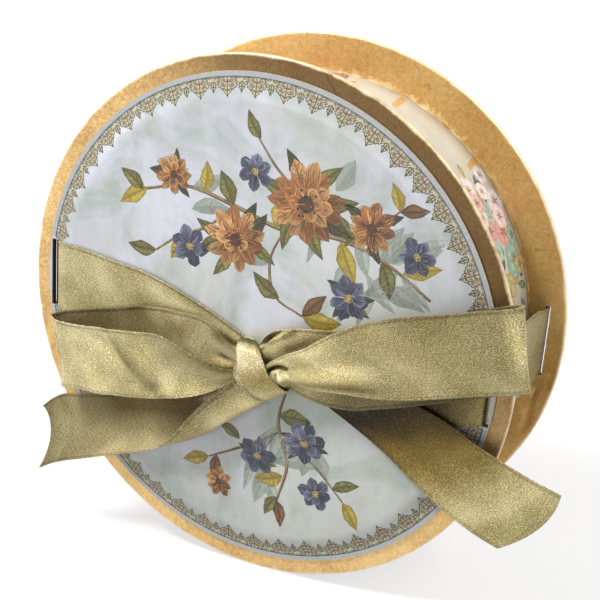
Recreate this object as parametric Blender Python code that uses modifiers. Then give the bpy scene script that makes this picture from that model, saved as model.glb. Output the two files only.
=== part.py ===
"""A round chipboard candy box with a padded picture lid, tied shut with a wide satin ribbon and a bow.

The box stands on the rims of its two boards, with its lid facing -Y and the floor at Z = 0.
Every piece is placed in the box's own axes: right, up and forward out of the lid.
"""

import math

import bpy
from mathutils import Vector

# The drum that holds the sweets, and how far the two boards reach past it
DRUM_RADIUS = 0.1073
RIM_OVERHANG = 0.0177
DRUM_HEIGHT = 0.0635
WALL = 0.002
WRAP_PAPER = 0.0005
LINING_PAPER = 0.0005
BOARD = 0.0025
SEGMENTS = 72

# The neck under the lid that centres it in the drum
NECK_WALL = 0.002
NECK_DEPTH = 0.014
NECK_CLEARANCE = 0.0006

# The padded picture on the lid
GOLD_RING = 0.0075
PICTURE_RIM = 0.0025
PICTURE_SLOPE = 0.011
PICTURE_RISE = 0.002
PICTURE_CARD = 0.0005

# The ribbon, the slits it passes through, and how far the box is rolled on its rims
RIBBON_WIDTH = 0.038
RIBBON = 0.0006
SLIT_WIDTH = 0.003
SLIT_SPARE = 0.001
SLIT_SHARE = 0.88
LID_SLIT_FROM_DRUM = 0.0062
BACK_SLIT_FROM_DRUM = 0.0081
BACK_TAPER = 0.015
ROLL = math.radians(-4.5)

# The unit and the ribbon width that the bow's edges below are drawn in, and its pleats at the knot
BOW_UNIT = 0.001
DRAWN_WIDTH = 38.0
PLEATS = 3
ROWS_PER_STEP = 2
CELLS_ACROSS = 9

# The knot, in the ribbon's axes on the lid
KNOT_RIGHT = 0.010
KNOT_UP = -0.013
KNOT_LIFT = 0.0070
KNOT_REACH = 0.0155
KNOT_HALF_WIDTH = 0.0095
KNOT_HALF_HEIGHT = 0.0064
KNOT_TURN = math.radians(32)
KNOT_SEGMENTS = 28

# The gap that pieces which touch keep to each other
GAP = 0.0003

# Distances forward from the middle of the back board
BACK_FACE = BOARD / 2
DRUM_START = BACK_FACE + GAP
DRUM_END = DRUM_START + DRUM_HEIGHT
LID_REAR = DRUM_END + GAP
LID_FACE = LID_REAR + BOARD
CARD_REAR = LID_FACE + GAP
PICTURE_FACE = CARD_REAR + PICTURE_RISE + PICTURE_CARD

# Radii, measured to the flats of the turned pieces
BOARD_RADIUS = DRUM_RADIUS + RIM_OVERHANG
WALL_RADIUS = DRUM_RADIUS - WRAP_PAPER - GAP
LINING_RADIUS = WALL_RADIUS - WALL - GAP
INSIDE_RADIUS = LINING_RADIUS - LINING_PAPER
NECK_RADIUS = INSIDE_RADIUS - NECK_CLEARANCE
CARD_RADIUS = BOARD_RADIUS - GOLD_RING
DOME_RADIUS = CARD_RADIUS - PICTURE_RIM
DOME_FLAT = DOME_RADIUS - PICTURE_SLOPE
LID_SLIT = DRUM_RADIUS + LID_SLIT_FROM_DRUM
BACK_SLIT = DRUM_RADIUS + BACK_SLIT_FROM_DRUM
SLIT_HALF = RIBBON_WIDTH * SLIT_SHARE / 2

# The bow is drawn in its own unit: right, up, and height above the picture's flat face.
# Each strip has its two edges, and a middle where it is folded along its length.
STRAP_TOP = [(1.0, 16.7, -2.8), (0.985, 16.9, -0.5), (0.965, 17.1, 0.5), (0.88, 17.5, 1.2),
             (0.75, 16, 1.6), (0.57, 14, 1.8), (0.38, 8, 1.9), (0.2, 0, 1.9), (0.06, -8, 1.8)]
STRAP_BOTTOM = [(1.0, -16.7, -2.8), (0.985, -16.9, -0.5), (0.965, -17.3, 0.5), (0.88, -19.6, 1.2),
                (0.75, -21.5, 1.5), (0.57, -22, 1.6), (0.38, -21, 1.6), (0.2, -19.5, 1.6),
                (0.06, -18, 1.6)]

LEFT_LOOP_TOP = [(8, -11, 6.6), (0, -9, 6.6), (-10, -4.5, 6.4), (-22, -0.5, 6.2), (-38, 1, 5.8),
                 (-55, -2, 5.6), (-75, -7, 5.8), (-93, -12, 6.4), (-102, -14.5, 8.4), (-105, -15.5, 12),
                 (-101, -15.3, 16.5), (-90, -14, 19.6), (-70, -10, 23), (-50, -6, 25.6),
                 (-35, -4, 25.6), (-22, -8.5, 22), (-11, -13, 16.6), (0, -15, 11.6), (8, -15, 9.4)]
LEFT_LOOP_BOTTOM = [(6, -19, 6.2), (0, -20, 6.2), (-10, -25, 6.0), (-22, -31, 5.8), (-38, -37, 5.6),
                    (-55, -40, 5.6), (-75, -44.5, 5.8), (-89, -49.5, 6.2), (-97.5, -51.5, 7.6),
                    (-100, -52.5, 10.4), (-97.5, -52, 13), (-89, -50, 14.6), (-72, -47, 16.6),
                    (-51, -43, 17.6), (-34, -38.5, 17.6), (-19, -33.5, 15.6), (-9, -28, 12.8),
                    (1, -21.5, 9.8), (8, -20, 8.6)]

RIGHT_LOOP_TOP = [(8, -9, 6.4), (14, -1, 6.2), (20, 5.5, 5.8), (28, 9.5, 5.4), (40, 12, 5.2), (60, 18.5, 5),
                  (80, 26, 5), (102, 35, 5), (118, 42, 5.2), (125.5, 45, 6.4), (127.5, 45.8, 8.6),
                  (125, 44.8, 10.8), (114, 41.5, 12.2), (93, 34.5, 13), (71, 27, 13), (55, 19.5, 12.6),
                  (42, 10.8, 12.4), (31, 1.9, 12.2), (22.7, -2.9, 12), (17.3, -6.9, 11.6), (8, -11, 10.4)]
RIGHT_LOOP_BOTTOM = [(8, -18, 6), (16, -20, 5.8), (23, -22, 5.6), (32, -24.3, 5.4), (41, -25.3, 5.2),
                     (52, -24.5, 5), (69, -19, 5), (90, -10.8, 5), (110, -2.5, 5), (126, 4.5, 5.2),
                     (133.5, 8, 6.4), (135, 9, 8.6), (131.5, 8, 10.8), (121, 4.8, 11.8),
                     (101, -1.8, 12.4), (83, -8, 12.4), (66, -12, 12), (52, -14, 11.8),
                     (40.5, -15.8, 11.4), (29, -16.2, 11), (14, -16.5, 9.8)]

LEFT_TAIL_UPPER = [(5, -20, 8.4), (-3, -24, 9.8), (-11.8, -31.6, 10.8), (-20.5, -41.5, 11),
                   (-30.5, -54.5, 10.2), (-39.5, -66.5, 8.8), (-49, -74.5, 7), (-62, -81, 5.6),
                   (-78, -88, 4.6), (-93, -94.5, 4.2), (-104, -99, 4.6), (-109, -101, 6.6),
                   (-114, -103.5, 10.6)]
LEFT_TAIL_MIDDLE = [(11, -24, 8.4), (10, -30, 8.8), (3, -37, 8.8), (-8, -47, 8.4), (-19, -56, 7.6),
                    (-31, -61, 6.4), (-43, -63.5, 5.2), (-60, -67, 4.6), (-77, -71.5, 4.4),
                    (-92, -76, 4.4), (-104, -80, 5), (-109, -82, 7), (-113, -84.5, 10.6)]
LEFT_TAIL_LOWER = [(6, -22, 5.2), (2, -25.5, 4.2), (-6, -29.6, 3.4), (-16, -34.4, 2.8), (-28, -39, 2.6),
                   (-41, -42.6, 2.6), (-50, -45.4, 2.8), (-63, -49.4, 3.2), (-78, -54, 3.6),
                   (-92, -58, 4), (-104, -61, 4.8), (-108.5, -62.5, 6.8), (-112, -65, 10)]

RIGHT_TAIL_UPPER = [(12, -11, 3.8), (22, -11.5, 3.7), (34, -11, 3.6), (50, -10.5, 3.5), (75, -11, 3.5),
                    (99, -17, 3.4), (111, -22.5, 3.6), (123, -27, 4.2), (139, -31, 5.8), (155, -33, 9)]
RIGHT_TAIL_LOWER = [(12, -19, 3.6), (20, -20.5, 3.5), (30, -22.5, 3.4), (41, -26, 3.4), (56, -33, 3.5),
                    (73, -41.5, 3.8), (88, -51, 4.2), (104, -59.5, 4.8), (117, -64, 6), (130, -66.5, 8.6)]
TAIL_NOTCH = 0.045
TAIL_CROWN = -0.02


def new_collection(name):
    """A collection in the scene, for the parts or for the shapes that cut them."""
    made = bpy.data.collections.new(name)
    bpy.context.scene.collection.children.link(made)
    return made


def finish(name, colour, roughness, metallic=0.0):
    """A plain Principled material in a part's own colour."""
    made = bpy.data.materials.new(name)
    made.use_nodes = True
    shader = made.node_tree.nodes["Principled BSDF"]
    shader.inputs["Base Color"].default_value = (*colour, 1.0)
    shader.inputs["Roughness"].default_value = roughness
    shader.inputs["Metallic"].default_value = metallic
    return made


def empty(name, location=(0, 0, 0), rotation=(0, 0, 0), parent=None):
    """A set of axes that pieces hang from."""
    made = bpy.data.objects.new(name, None)
    made.location = location
    made.rotation_euler = rotation
    made.parent = parent
    parts.objects.link(made)
    return made


def mesh_object(name, points, edges, faces, parent, material):
    """An object from a mesh, under its parent's axes."""
    mesh = bpy.data.meshes.new(name)
    mesh.from_pydata(points, edges, faces)
    made = bpy.data.objects.new(name, mesh)
    made.parent = parent
    if material:
        mesh.materials.append(material)
        parts.objects.link(made)
    else:
        made.hide_render = True
        made.display_type = "WIRE"
        cutters.objects.link(made)
    return made


def turned(name, outline, parent, material, segments=SEGMENTS):
    """A half outline of (radius, forward) points, spun round the box's axis with a flat at its foot."""
    corner = 1 / math.cos(math.pi / segments)
    points = [(radius * corner, 0, forward) for radius, forward in outline]
    joins = [(i, i + 1) for i in range(len(points) - 1)]
    if outline[0][0] > 0:
        joins.append((len(points) - 1, 0))
    made = mesh_object(name, points, joins, [], parent, material)
    made.rotation_euler.z = math.pi / segments
    spin = made.modifiers.new("spin", "SCREW")
    spin.steps = segments
    spin.render_steps = segments
    spin.use_merge_vertices = True
    spin.merge_threshold = 0.00001
    return made


def ring(name, radius, wall, rear, front, parent, material):
    """A plain tube between two distances forward."""
    outline = [(radius, front), (radius, rear), (radius - wall, rear), (radius - wall, front)]
    return turned(name, outline, parent, material)


def disc(name, radius, rear, front, parent, material):
    """A plain round board or sheet between two distances forward."""
    return turned(name, [(0, front), (radius, front), (radius, rear), (0, rear)], parent, material)


def cut(piece, cutter):
    """Takes the cutter's shape out of the piece."""
    made = piece.modifiers.new("cut", "BOOLEAN")
    made.operation = "DIFFERENCE"
    made.solver = "EXACT"
    made.object = cutter


def slit_cutters(name, reach, forward, depth):
    """Two boxes, one at each side, that cut the slits the ribbon passes through."""
    made = []
    for side, sign in (("left", -1), ("right", 1)):
        bpy.ops.mesh.primitive_cube_add(size=1)
        box = bpy.context.object
        box.name = f"{name}_{side}"
        box.scale = (SLIT_WIDTH, 2 * SLIT_HALF + SLIT_SPARE, depth)
        box.location = (sign * reach, 0, forward)
        box.parent = ribbon_axes
        box.hide_render = True
        box.display_type = "WIRE"
        for holder in list(box.users_collection):
            holder.objects.unlink(box)
        cutters.objects.link(box)
        made.append(box)
    return made


def smooth_rail(points, rows):
    """A smooth line through the points, with the given rows between each pair."""
    points = [Vector(point) for point in points]
    spans = [(b - a).length for a, b in zip(points, points[1:])]
    slopes = [(points[1] - points[0]) / spans[0]]
    for i in range(1, len(points) - 1):
        before = (points[i] - points[i - 1]) / spans[i - 1]
        after = (points[i + 1] - points[i]) / spans[i]
        share = spans[i - 1] / (spans[i - 1] + spans[i])
        slopes.append(before * (1 - share) + after * share)
    slopes.append((points[-1] - points[-2]) / spans[-1])
    line = []
    for i, span in enumerate(spans):
        for row in range(rows):
            t = row / rows
            start = points[i] * (2 * t**3 - 3 * t**2 + 1) + slopes[i] * (span * (t**3 - 2 * t**2 + t))
            end = points[i + 1] * (3 * t**2 - 2 * t**3) + slopes[i + 1] * (span * (t**3 - t**2))
            line.append(start + end)
    line.append(points[-1])
    return line


def strip(name, edge, other, material, middle=None, gathers=(), notch=0.0, rows=ROWS_PER_STEP):
    """A length of ribbon between its two edges, given in bow units in the ribbon's axes on the lid.

    gathers holds (row, depth in bow units, reach in rows) for each end that is pleated into the knot.
    notch is how much of the length the end is cut in at its middle.
    """
    first = smooth_rail(edge, rows)
    last = smooth_rail(other, rows)
    centre = smooth_rail(middle, rows) if middle else [(a + b) / 2 for a, b in zip(first, last)]
    widen = RIBBON_WIDTH / (DRAWN_WIDTH * BOW_UNIT)
    grid = []
    for a, m, b in zip(first, centre, last):
        core = (a + b) / 2
        spread = [core + (point - core) * widen for point in (a, m, b)]
        row = []
        for j in range(CELLS_ACROSS + 1):
            s = j / CELLS_ACROSS
            weights = ((1 - s) * (1 - 2 * s), 4 * s * (1 - s), s * (2 * s - 1))
            row.append(sum((p * w for p, w in zip(spread, weights)), Vector()))
        grid.append(row)
    grid = pleated(grid, gathers)
    if notch:
        grid = notched(grid, notch)
    points = [(x * BOW_UNIT, y * BOW_UNIT, PICTURE_FACE + h * BOW_UNIT) for row in grid for x, y, h in row]
    wide = CELLS_ACROSS + 1
    faces = [(i * wide + j, i * wide + j + 1, (i + 1) * wide + j + 1, (i + 1) * wide + j)
             for i in range(len(grid) - 1) for j in range(CELLS_ACROSS)]
    return thickened(mesh_object(name, points, [], faces, ribbon_axes, material))


def pleated(grid, gathers):
    """The grid with soft pleats along it, deepest at the knot and fading out away from it."""
    made = [list(row) for row in grid]
    for at, depth, reach in gathers:
        for i, row in enumerate(grid):
            away = abs(i - at % len(grid)) / reach
            if away >= 1:
                continue
            for j, point in enumerate(row):
                along = grid[min(i + 1, len(grid) - 1)][j] - grid[max(i - 1, 0)][j]
                across = row[min(j + 1, len(row) - 1)] - row[max(j - 1, 0)]
                lift = depth * (1 - away) ** 2 * math.sin(math.tau * PLEATS * j / CELLS_ACROSS)
                made[i][j] = point + along.cross(across).normalized() * lift
    return made


def notched(grid, notch):
    """The grid with its last rows drawn back along the strip, most at the middle of the cut."""
    made = [list(row) for row in grid]
    last = len(grid) - 1
    for j in range(CELLS_ACROSS + 1):
        s = j / CELLS_ACROSS
        back = notch * 4 * s * (1 - s)
        for i in range(len(grid)):
            at = min(max(i * (1 - back), 0), last)
            low = min(int(at), last - 1)
            made[i][j] = grid[low][j].lerp(grid[low + 1][j], at - low)
    return made


def thickened(piece):
    """The strip given the ribbon's thickness, half to each side."""
    shell = piece.modifiers.new("thickness", "SOLIDIFY")
    shell.thickness = RIBBON
    shell.offset = 0
    return piece


def folded(name, path, halves, material):
    """A flat strap in the ribbon's axes, from (right, forward) points in metres and half widths."""
    points = []
    for (right, forward), half in zip(path, halves):
        points += [(right, half, forward), (right, -half, forward)]
    faces = [(2 * i, 2 * i + 1, 2 * i + 3, 2 * i + 2) for i in range(len(halves) - 1)]
    return thickened(mesh_object(name, points, [], faces, ribbon_axes, material))


def knot(name, spare, material):
    """The band of the knot: a barrel lying across the bow, flattened towards the lid."""
    reach = KNOT_REACH + spare
    half = KNOT_HALF_WIDTH + spare
    outline = [(0, 0.78), (0.5, 0.86), (0.82, 1.0), (0.94, 0.92), (1.0, 0.6), (0.96, 0.3), (0.99, 0.05),
               (0.95, -0.3), (1.0, -0.6), (0.95, -0.92), (0.82, -1.0), (0.5, -0.86), (0, -0.78)]
    made = turned(name, [(r * reach, z * half) for r, z in outline], None, material, KNOT_SEGMENTS)
    made.parent = knot_axes
    made.rotation_euler = (0, math.pi / 2, 0)
    made.scale = ((KNOT_HALF_HEIGHT + spare) / reach, 1, 1)
    return made


for old in list(bpy.data.objects):
    bpy.data.objects.remove(old)
parts = new_collection("candy_box")
cutters = new_collection("candy_box_cutters")
cutters.hide_render = True

chipboard_gold = finish("gold_paper_board", (0.74, 0.50, 0.20), 0.38, 0.6)
grey_board = finish("grey_chipboard", (0.50, 0.47, 0.42), 0.9)
printed_wrap = finish("printed_wrap_paper", (0.62, 0.60, 0.53), 0.6)
white_paper = finish("white_lining_paper", (0.80, 0.78, 0.73), 0.8)
picture_print = finish("picture_print", (0.56, 0.60, 0.64), 0.35)
padding = finish("white_wadding", (0.85, 0.84, 0.82), 0.95)
satin = finish("olive_satin", (0.42, 0.38, 0.21), 0.4)

# The box's axes: its axis is level, BOARD_RADIUS above the floor, and forward is out of the lid
box_axes = empty("box_axes", (0, 0, BOARD_RADIUS), (math.pi / 2, 0, 0))
lid_axes = empty("lid_axes", parent=box_axes)
ribbon_axes = empty("ribbon_axes", rotation=(0, 0, ROLL), parent=box_axes)
knot_place = (KNOT_RIGHT, KNOT_UP, PICTURE_FACE + KNOT_LIFT)
knot_axes = empty("knot_axes", knot_place, (0, 0, KNOT_TURN), ribbon_axes)

# The base: the back board, and the drum glued to it with its wrap and linings
back_cutters = slit_cutters("back_slit", BACK_SLIT, 0, 2 * BOARD)
back_board = disc("back_board", BOARD_RADIUS, -BACK_FACE, BACK_FACE, box_axes, chipboard_gold)
for cutter in back_cutters:
    cut(back_board, cutter)
ring("drum_wall", WALL_RADIUS, WALL, DRUM_START, DRUM_END, box_axes, grey_board)
ring("drum_wrap", DRUM_RADIUS, WRAP_PAPER, DRUM_START, DRUM_END, box_axes, printed_wrap)
ring("wall_lining", LINING_RADIUS, LINING_PAPER, DRUM_START, DRUM_END, box_axes, white_paper)
disc("base_lining", INSIDE_RADIUS - GAP, DRUM_START, DRUM_START + LINING_PAPER, box_axes, white_paper)

# The lid: its board, the neck that drops into the drum, and the lining inside the neck
lid_cutters = slit_cutters("lid_slit", LID_SLIT, PICTURE_FACE - BOARD, 4 * BOARD)
lid_board = disc("lid_board", BOARD_RADIUS, LID_REAR, LID_FACE, lid_axes, chipboard_gold)
neck_front = LID_REAR - GAP
ring("lid_neck", NECK_RADIUS, NECK_WALL, neck_front - NECK_DEPTH, neck_front, lid_axes, grey_board)
lid_lining_radius = NECK_RADIUS - NECK_WALL - GAP
disc("lid_lining", lid_lining_radius, neck_front - LINING_PAPER, neck_front, lid_axes, white_paper)

# The picture: a pressed card with a flat rim and a padded dome, over its wadding
slope = [(DOME_FLAT + PICTURE_SLOPE * t, PICTURE_RISE * (1 + math.cos(math.pi * t)) / 2)
         for t in (0, 0.2, 0.4, 0.6, 0.8, 1)]
face = [(0, CARD_REAR + PICTURE_RISE + PICTURE_CARD)]
face += [(r, CARD_REAR + PICTURE_CARD + rise) for r, rise in slope]
face += [(CARD_RADIUS, CARD_REAR + PICTURE_CARD), (CARD_RADIUS, CARD_REAR)]
face += [(r, CARD_REAR + rise) for r, rise in reversed(slope)]
face += [(0, CARD_REAR + PICTURE_RISE)]
picture_card = turned("picture_card", face, lid_axes, picture_print)
for cutter in lid_cutters:
    cut(lid_board, cutter)
    cut(picture_card, cutter)
disc("picture_pad", DOME_FLAT - GAP, CARD_REAR, CARD_REAR + PICTURE_RISE - GAP, lid_axes, padding)

# The ribbon round the box: across the back, then forward through the back slits to the lid's
turn = RIBBON / 2 + GAP
behind = -BACK_FACE - turn
half_path = [(BACK_SLIT, -GAP / 2), (BACK_SLIT, behind + turn), (BACK_SLIT - turn, behind)]
flat_half = (BACK_SLIT - BACK_TAPER, behind)
path = [*half_path, flat_half, *[(-right, forward) for right, forward in reversed([*half_path, flat_half])]]
slit_half = SLIT_HALF
flat = RIBBON_WIDTH / 2
halves = [slit_half] * 3 + [flat] * 2 + [slit_half] * 3
folded("ribbon_back", path, halves, satin)
for side, sign in (("left", -1), ("right", 1)):
    start, end = GAP / 2, LID_FACE - GAP
    length = end - start
    shares = (0, 0.05, 0.22, 0.78, 0.94, 1)
    halves = (slit_half, slit_half, flat, flat, slit_half, slit_half)
    rights = [sign * (BACK_SLIT + (LID_SLIT - BACK_SLIT) * share) for share in shares]
    forwards = [start + length * share for share in shares]
    folded(f"ribbon_side_{side}", zip(rights, forwards), halves, satin)

# The bow: the straps that run in from the slits, the loops, the tails, and the knot that holds them
knot("bow_knot", 0.0, satin)
knot_space = knot("knot_space", GAP, None)
slit_place = LID_SLIT / BOW_UNIT
pieces = []
for side, sign in (("left", -1), ("right", 1)):
    knot_side = KNOT_RIGHT / BOW_UNIT
    edges = []
    for edge in (STRAP_TOP, STRAP_BOTTOM):
        edges.append([(knot_side + (sign * slit_place - knot_side) * share, y, h) for share, y, h in edge])
    pieces.append(strip(f"ribbon_front_{side}", *edges, satin, gathers=[(-1, 0.5, 8)]))
pieces.append(strip("bow_loop_left", LEFT_LOOP_TOP, LEFT_LOOP_BOTTOM, satin,
                    gathers=[(0, 0.6, 9), (-1, 1.0, 10)]))
pieces.append(strip("bow_loop_right", RIGHT_LOOP_TOP, RIGHT_LOOP_BOTTOM, satin,
                    gathers=[(0, 0.5, 7), (-1, 0.8, 9)]))
pieces.append(strip("bow_tail_left", LEFT_TAIL_UPPER, LEFT_TAIL_LOWER, satin, middle=LEFT_TAIL_MIDDLE,
                    notch=TAIL_NOTCH))
pieces.append(strip("bow_tail_right", RIGHT_TAIL_UPPER, RIGHT_TAIL_LOWER, satin, notch=TAIL_CROWN))
for piece in pieces:
    cut(piece, knot_space)

for piece in parts.objects:
    if piece.type == "MESH":
        piece.data.shade_smooth()
        piece.data.set_sharp_from_angle(angle=math.radians(35))
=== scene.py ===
"""Looks of a round gold candy box with a padded picture lid, tied with an olive satin ribbon."""

import math
import random

import bmesh
import bpy
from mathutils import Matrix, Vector, noise


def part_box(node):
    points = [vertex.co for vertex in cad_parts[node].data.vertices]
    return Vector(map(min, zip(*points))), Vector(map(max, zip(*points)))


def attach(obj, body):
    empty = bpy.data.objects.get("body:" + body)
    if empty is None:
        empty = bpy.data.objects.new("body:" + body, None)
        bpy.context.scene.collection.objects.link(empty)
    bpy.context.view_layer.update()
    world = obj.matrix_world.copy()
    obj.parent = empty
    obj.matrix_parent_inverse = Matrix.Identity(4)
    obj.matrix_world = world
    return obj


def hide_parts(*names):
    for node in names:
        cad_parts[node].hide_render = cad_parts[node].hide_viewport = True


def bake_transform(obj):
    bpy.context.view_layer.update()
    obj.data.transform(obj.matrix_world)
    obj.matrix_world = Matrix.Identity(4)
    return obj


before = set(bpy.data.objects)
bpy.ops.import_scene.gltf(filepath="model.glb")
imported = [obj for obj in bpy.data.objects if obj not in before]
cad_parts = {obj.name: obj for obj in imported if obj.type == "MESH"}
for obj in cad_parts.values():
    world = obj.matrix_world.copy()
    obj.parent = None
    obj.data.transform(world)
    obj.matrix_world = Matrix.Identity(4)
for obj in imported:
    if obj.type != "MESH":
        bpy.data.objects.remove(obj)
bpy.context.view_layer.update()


# The stage: a white table, the camera at the photograph's angle, and soft studio light
# from the upper left. The camera looks down on the lid from its right.
board_low, board_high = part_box("lid_board")
BOARD_RADIUS = (board_high[2] - board_low[2]) / 2
LID_FACE = -board_low[1]
LID_CENTRE = Vector((0, -LID_FACE, BOARD_RADIUS))
CAMERA_OFFSET = Vector((0.29957, -0.52250, 0.22628))
CAMERA_FORWARD = Vector((-0.4417, 0.8326, -0.3342))
CAMERA_LENS = 84.1
TABLE_SIZE = 12
LAMPS = (("key_lamp", (-0.5, -0.52, 1.15), 17.0, (0.3, 0.3)),
         ("back_lamp", (0.75, 0.36, 1.0), 8.5, (0.6, 0.5)),
         ("right_lamp", (1.05, -0.36, 0.72), 2.0, (0.6, 0.6)),
         ("front_lamp", (-0.35, -1.5, 0.2), 4.2, (0.9, 0.6)),
         ("glint_lamp", (-1.12, -0.84, 0.42), 1.1, (0.04, 0.4)))


class Nodes:
    """The shader nodes of a material or world. Each method adds a node and gives back its result."""

    def __init__(self, owner):
        owner.use_nodes = True
        self.tree = owner.node_tree

    def feed(self, socket, value):
        """Sets a socket to a number or colour, or wires another node's result to it."""
        if isinstance(value, bpy.types.NodeSocket):
            self.tree.links.new(value, socket)
        else:
            socket.default_value = value

    def add(self, kind, output, settings=None, **inputs):
        """A node with its settings, and with its inputs fed, by their names or as i and a number."""
        made = self.tree.nodes.new("ShaderNode" + kind)
        for name, value in (settings or {}).items():
            setattr(made, name, value)
        for name, value in inputs.items():
            key = int(name[1:]) if name[0] == "i" and name[1:].isdigit() else name.replace("_", " ")
            self.feed(made.inputs[key], value)
        return made.outputs[output]

    def maths(self, operation, *values):
        """Arithmetic on up to three numbers."""
        return self.add("Math", "Value", {"operation": operation},
                        **{f"i{k}": v for k, v in enumerate(values)})

    def vectors(self, operation, *values, output="Vector"):
        """Arithmetic on places or colours."""
        return self.add("VectorMath", output, {"operation": operation},
                        **{f"i{k}": v for k, v in enumerate(values)})

    def spread(self, value, low, high, bottom=0.0, top=1.0, curve="LINEAR"):
        """The run of a value from low to high, spread from bottom to top."""
        return self.add("MapRange", "Result", {"interpolation_type": curve}, Value=value, From_Min=low,
                        From_Max=high, To_Min=bottom, To_Max=top)


def seen_rays(nodes):
    """1 for the rays that show a thing to the eye: straight, mirrored or through something clear."""
    rays = nodes.add("LightPath", "Is Camera Ray").node.outputs
    either = nodes.maths("MAXIMUM", rays["Is Camera Ray"], rays["Is Glossy Ray"])
    return nodes.maths("MAXIMUM", either, rays["Is Transmission Ray"])


def deselect():
    """Leaves nothing selected."""
    if bpy.context.object and bpy.context.object.mode != "OBJECT":
        bpy.ops.object.mode_set(mode="OBJECT")
    bpy.ops.object.select_all(action="DESELECT")


camera_data = bpy.data.cameras.new("photo_camera")
camera_data.lens = CAMERA_LENS
camera_data.sensor_width = 36
camera = bpy.data.objects.new("photo_camera", camera_data)
bpy.context.scene.collection.objects.link(camera)
camera.location = LID_CENTRE + CAMERA_OFFSET
camera.rotation_euler = CAMERA_FORWARD.to_track_quat("-Z", "Y").to_euler()
bpy.context.scene.camera = camera
bpy.context.scene.view_settings.view_transform = "Standard"

deselect()
bpy.ops.mesh.primitive_plane_add(size=TABLE_SIZE, location=(0, 0, -0.0002))
table = bpy.context.object
table.name = "white_table"
white = bpy.data.materials.new("white_table_top")
top = Nodes(white)
shader = top.tree.nodes["Principled BSDF"]
shader.inputs["Base Color"].default_value = (0.3, 0.3, 0.3, 1)
shader.inputs["Roughness"].default_value = 0.6
away = top.vectors("LENGTH", top.add("TexCoord", "Object"), output="Value")
glow = top.add("Emission", "Emission", Color=(1, 1, 1, 1), Strength=top.spread(away, 0.25, 1.3, 0.66))
both = top.add("AddShader", "Shader", i0=shader.outputs["BSDF"], i1=glow)
seen = top.add("MixShader", "Shader", i0=seen_rays(top), i1=shader.outputs["BSDF"], i2=both)
top.feed(top.tree.nodes["Material Output"].inputs["Surface"], seen)
table.data.materials.append(white)

world = bpy.data.worlds.new("studio")
bpy.context.scene.world = world
sky = Nodes(world)
background = sky.tree.nodes["Background"]
sky.feed(background.inputs["Strength"], sky.spread(seen_rays(sky), 0, 1, 0.13))
sky.feed(background.inputs["Color"], (1, 1, 1, 1))

for name, place, power, size in LAMPS:
    lamp = bpy.data.lights.new(name, "AREA")
    lamp.energy = power
    lamp.shape = "RECTANGLE"
    lamp.size, lamp.size_y = size
    made = bpy.data.objects.new(name, lamp)
    bpy.context.scene.collection.objects.link(made)
    made.location = place
    made.rotation_euler = (LID_CENTRE - Vector(place)).to_track_quat("-Z", "Y").to_euler()


# The two gold boards: discs of chipboard wrapped in pale gold metallic paper, with a slit
# at each side for the ribbon. The paper is mottled, and pale along its edges, where it is partly
# rubbed and partly painted with a highlight.
BOARD_THICKNESS = board_high[1] - board_low[1]
ROLL = math.radians(-4.5)
SLIT_WIDTH = 0.0042
BACK_SLIT_WIDTH = 0.0024
SLIT_LENGTH = 0.0344
LID_SLIT = 0.1135
BACK_SLIT = 0.1154
ROUND = 288
SHARP = math.radians(50)


def tint(red, green, blue):
    """A colour as it is seen on screen, 0 to 255, turned into the linear values that shaders take."""
    made = []
    for part in (red, green, blue):
        share = part / 255
        made.append(share / 12.92 if share <= 0.04045 else ((share + 0.055) / 1.055) ** 2.4)
    return (*made, 1.0)


class Finish(Nodes):
    """A Principled material in the making; its inputs are named with _ for a space."""

    def __init__(self, name, roughness=0.5, metallic=0.0, **plain):
        self.material = bpy.data.materials.new(name)
        super().__init__(self.material)
        self.shader = self.tree.nodes["Principled BSDF"]
        self.dress(Roughness=roughness, Metallic=metallic, **plain)

    def dress(self, **inputs):
        """Feeds the shader's inputs."""
        for name, value in inputs.items():
            self.feed(self.shader.inputs[name.replace("_", " ")], value)

    def bumped(self, height, strength, distance):
        """A fine relief."""
        self.dress(Normal=self.add("Bump", "Normal", Height=height, Strength=strength, Distance=distance))

    def scaled(self, colour, level):
        """A colour made lighter or darker."""
        return self.add("VectorMath", "Vector", {"operation": "SCALE"}, i0=colour, Scale=level)

    def mixed(self, share, first, second):
        """A colour between two."""
        return self.add("Mix", 2, {"data_type": "RGBA"}, Factor=share, i6=first, i7=second)

    def between(self, share, first, second):
        """A number between two."""
        return self.add("Mix", "Result", {"data_type": "FLOAT"}, Factor=share, i2=first, i3=second)

    def cloud(self, place, settings=None, **inputs):
        """Soft noise, from 0 to 1."""
        return self.add("TexNoise", "Fac", settings, Vector=place, **inputs)

    def parts(self, place):
        """The X, Y and Z of a place or colour."""
        return self.add("SeparateXYZ", "X", Vector=place).node.outputs

    def cells(self, place, scale):
        """Three random numbers for each of many small cells."""
        return self.parts(self.add("TexVoronoi", "Color", Vector=place, Scale=scale))

    def ramp(self, factor, *stops):
        """A colour ramp with the given (place, colour) stops."""
        made = self.add("ValToRGB", "Color", Fac=factor)
        band = made.node.color_ramp
        while len(band.elements) < len(stops):
            band.elements.new(0.5)
        for element, (place, colour) in zip(band.elements, stops):
            element.position = place
            element.color = colour
        return made


def from_axis(finish, place):
    """A place as seen from the middle of the box's axis, and its distance from the axis."""
    level = finish.add("Mapping", "Vector", Vector=place, Location=(0, 0, -BOARD_RADIUS), Scale=(1, 0, 1))
    return level, finish.vectors("LENGTH", level, output="Value")


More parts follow.
